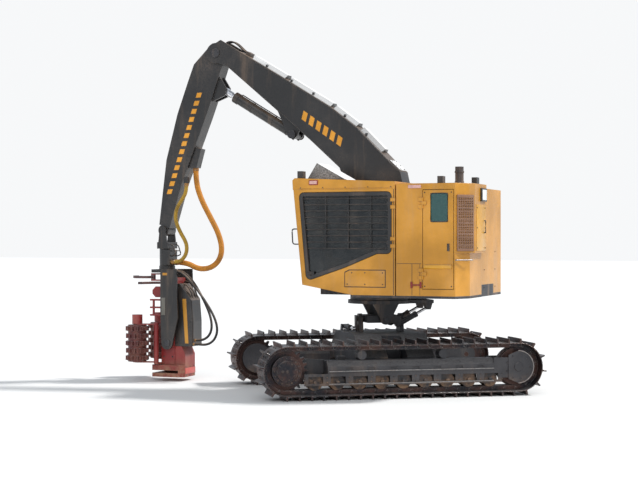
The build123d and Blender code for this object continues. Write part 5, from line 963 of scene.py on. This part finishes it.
def make_room():
    """Pale floor, pale sky and soft lamps."""
    floor_mesh = bpy.data.meshes.new("floor")
    reach = 150
    corners = [(-reach, -reach, 0), (reach, -reach, 0), (reach, reach, 0), (-reach, reach, 0)]
    floor_mesh.from_pydata(corners, [], [(0, 1, 2, 3)])
    floor = bpy.data.objects.new("floor", floor_mesh)
    bpy.context.scene.collection.objects.link(floor)
    net = Net("floor")
    net.shader.inputs["Base Color"].default_value = (0.78, 0.77, 0.75, 1)
    net.shader.inputs["Roughness"].default_value = 0.9
    net.shader.inputs["Specular IOR Level"].default_value = 0.1
    floor_mesh.materials.append(net.material)

    world = bpy.data.worlds.new("sky")
    bpy.context.scene.world = world
    world.use_nodes = True
    tree = world.node_tree
    tree.nodes.clear()
    output = tree.nodes.new("ShaderNodeOutputWorld")
    seen = tree.nodes.new("ShaderNodeBackground")
    seen.inputs["Color"].default_value = (0.93, 0.94, 0.95, 1)
    lit = tree.nodes.new("ShaderNodeBackground")
    lit.inputs["Color"].default_value = (0.84, 0.91, 1.0, 1)
    lit.inputs["Strength"].default_value = 0.62
    path = tree.nodes.new("ShaderNodeLightPath")
    blend = tree.nodes.new("ShaderNodeMixShader")
    tree.links.new(path.outputs["Is Camera Ray"], blend.inputs[0])
    tree.links.new(lit.outputs[0], blend.inputs[1])
    tree.links.new(seen.outputs[0], blend.inputs[2])
    tree.links.new(blend.outputs[0], output.inputs[0])

    for name, strength, spread, turn, tilt in (("sun", 3.2, 6, -150, 42), ("fill", 0.9, 40, 110, 60)):
        lamp = bpy.data.lights.new(name, "SUN")
        lamp.energy = strength
        lamp.angle = math.radians(spread)
        holder = bpy.data.objects.new(name, lamp)
        bpy.context.scene.collection.objects.link(holder)
        azimuth, rise = math.radians(turn), math.radians(90 - tilt)
        toward = Vector((math.cos(azimuth) * math.cos(rise), math.sin(azimuth) * math.cos(rise),
                         math.sin(rise)))
        holder.rotation_euler = toward.to_track_quat("Z", "Y").to_euler()
    bpy.context.scene.view_settings.view_transform = "Standard"


make_camera()
make_room()
dress_nodes()
for name, node, facts, bodies, slot in (
        ("sleeve", "hose_sleeve", SLEEVE, ("stick", "hanger"), "orange_sleeve"),
        ("supply", "supply_hose", SUPPLY, ("stick", "hanger"), "supply_yellow"),
        ("loop_inner", "head_hose_inner", LOOP_INNER, ("tilt_bracket", "head"), "hose_rubber"),
        ("loop_outer", "head_hose_outer", LOOP_OUTER, ("tilt_bracket", "head"), "hose_rubber")):
    make_hose(name, node, facts, finishes[slot])
for side, y in (("left", TIP_HOSE_Y), ("right", -TIP_HOSE_Y)):
    route = tuple((x, y, z) for x, z in TIP_ROUTE)
    make_hose("tip_" + side, "tip_hose_" + side, (0.032, route, 0.57),
              finishes["hose_rubber"])
for dress in (dress_tracks, dress_cab, dress_house, dress_lamps_and_tank, dress_boom, dress_rams,
              dress_stick, dress_head):
    dress()
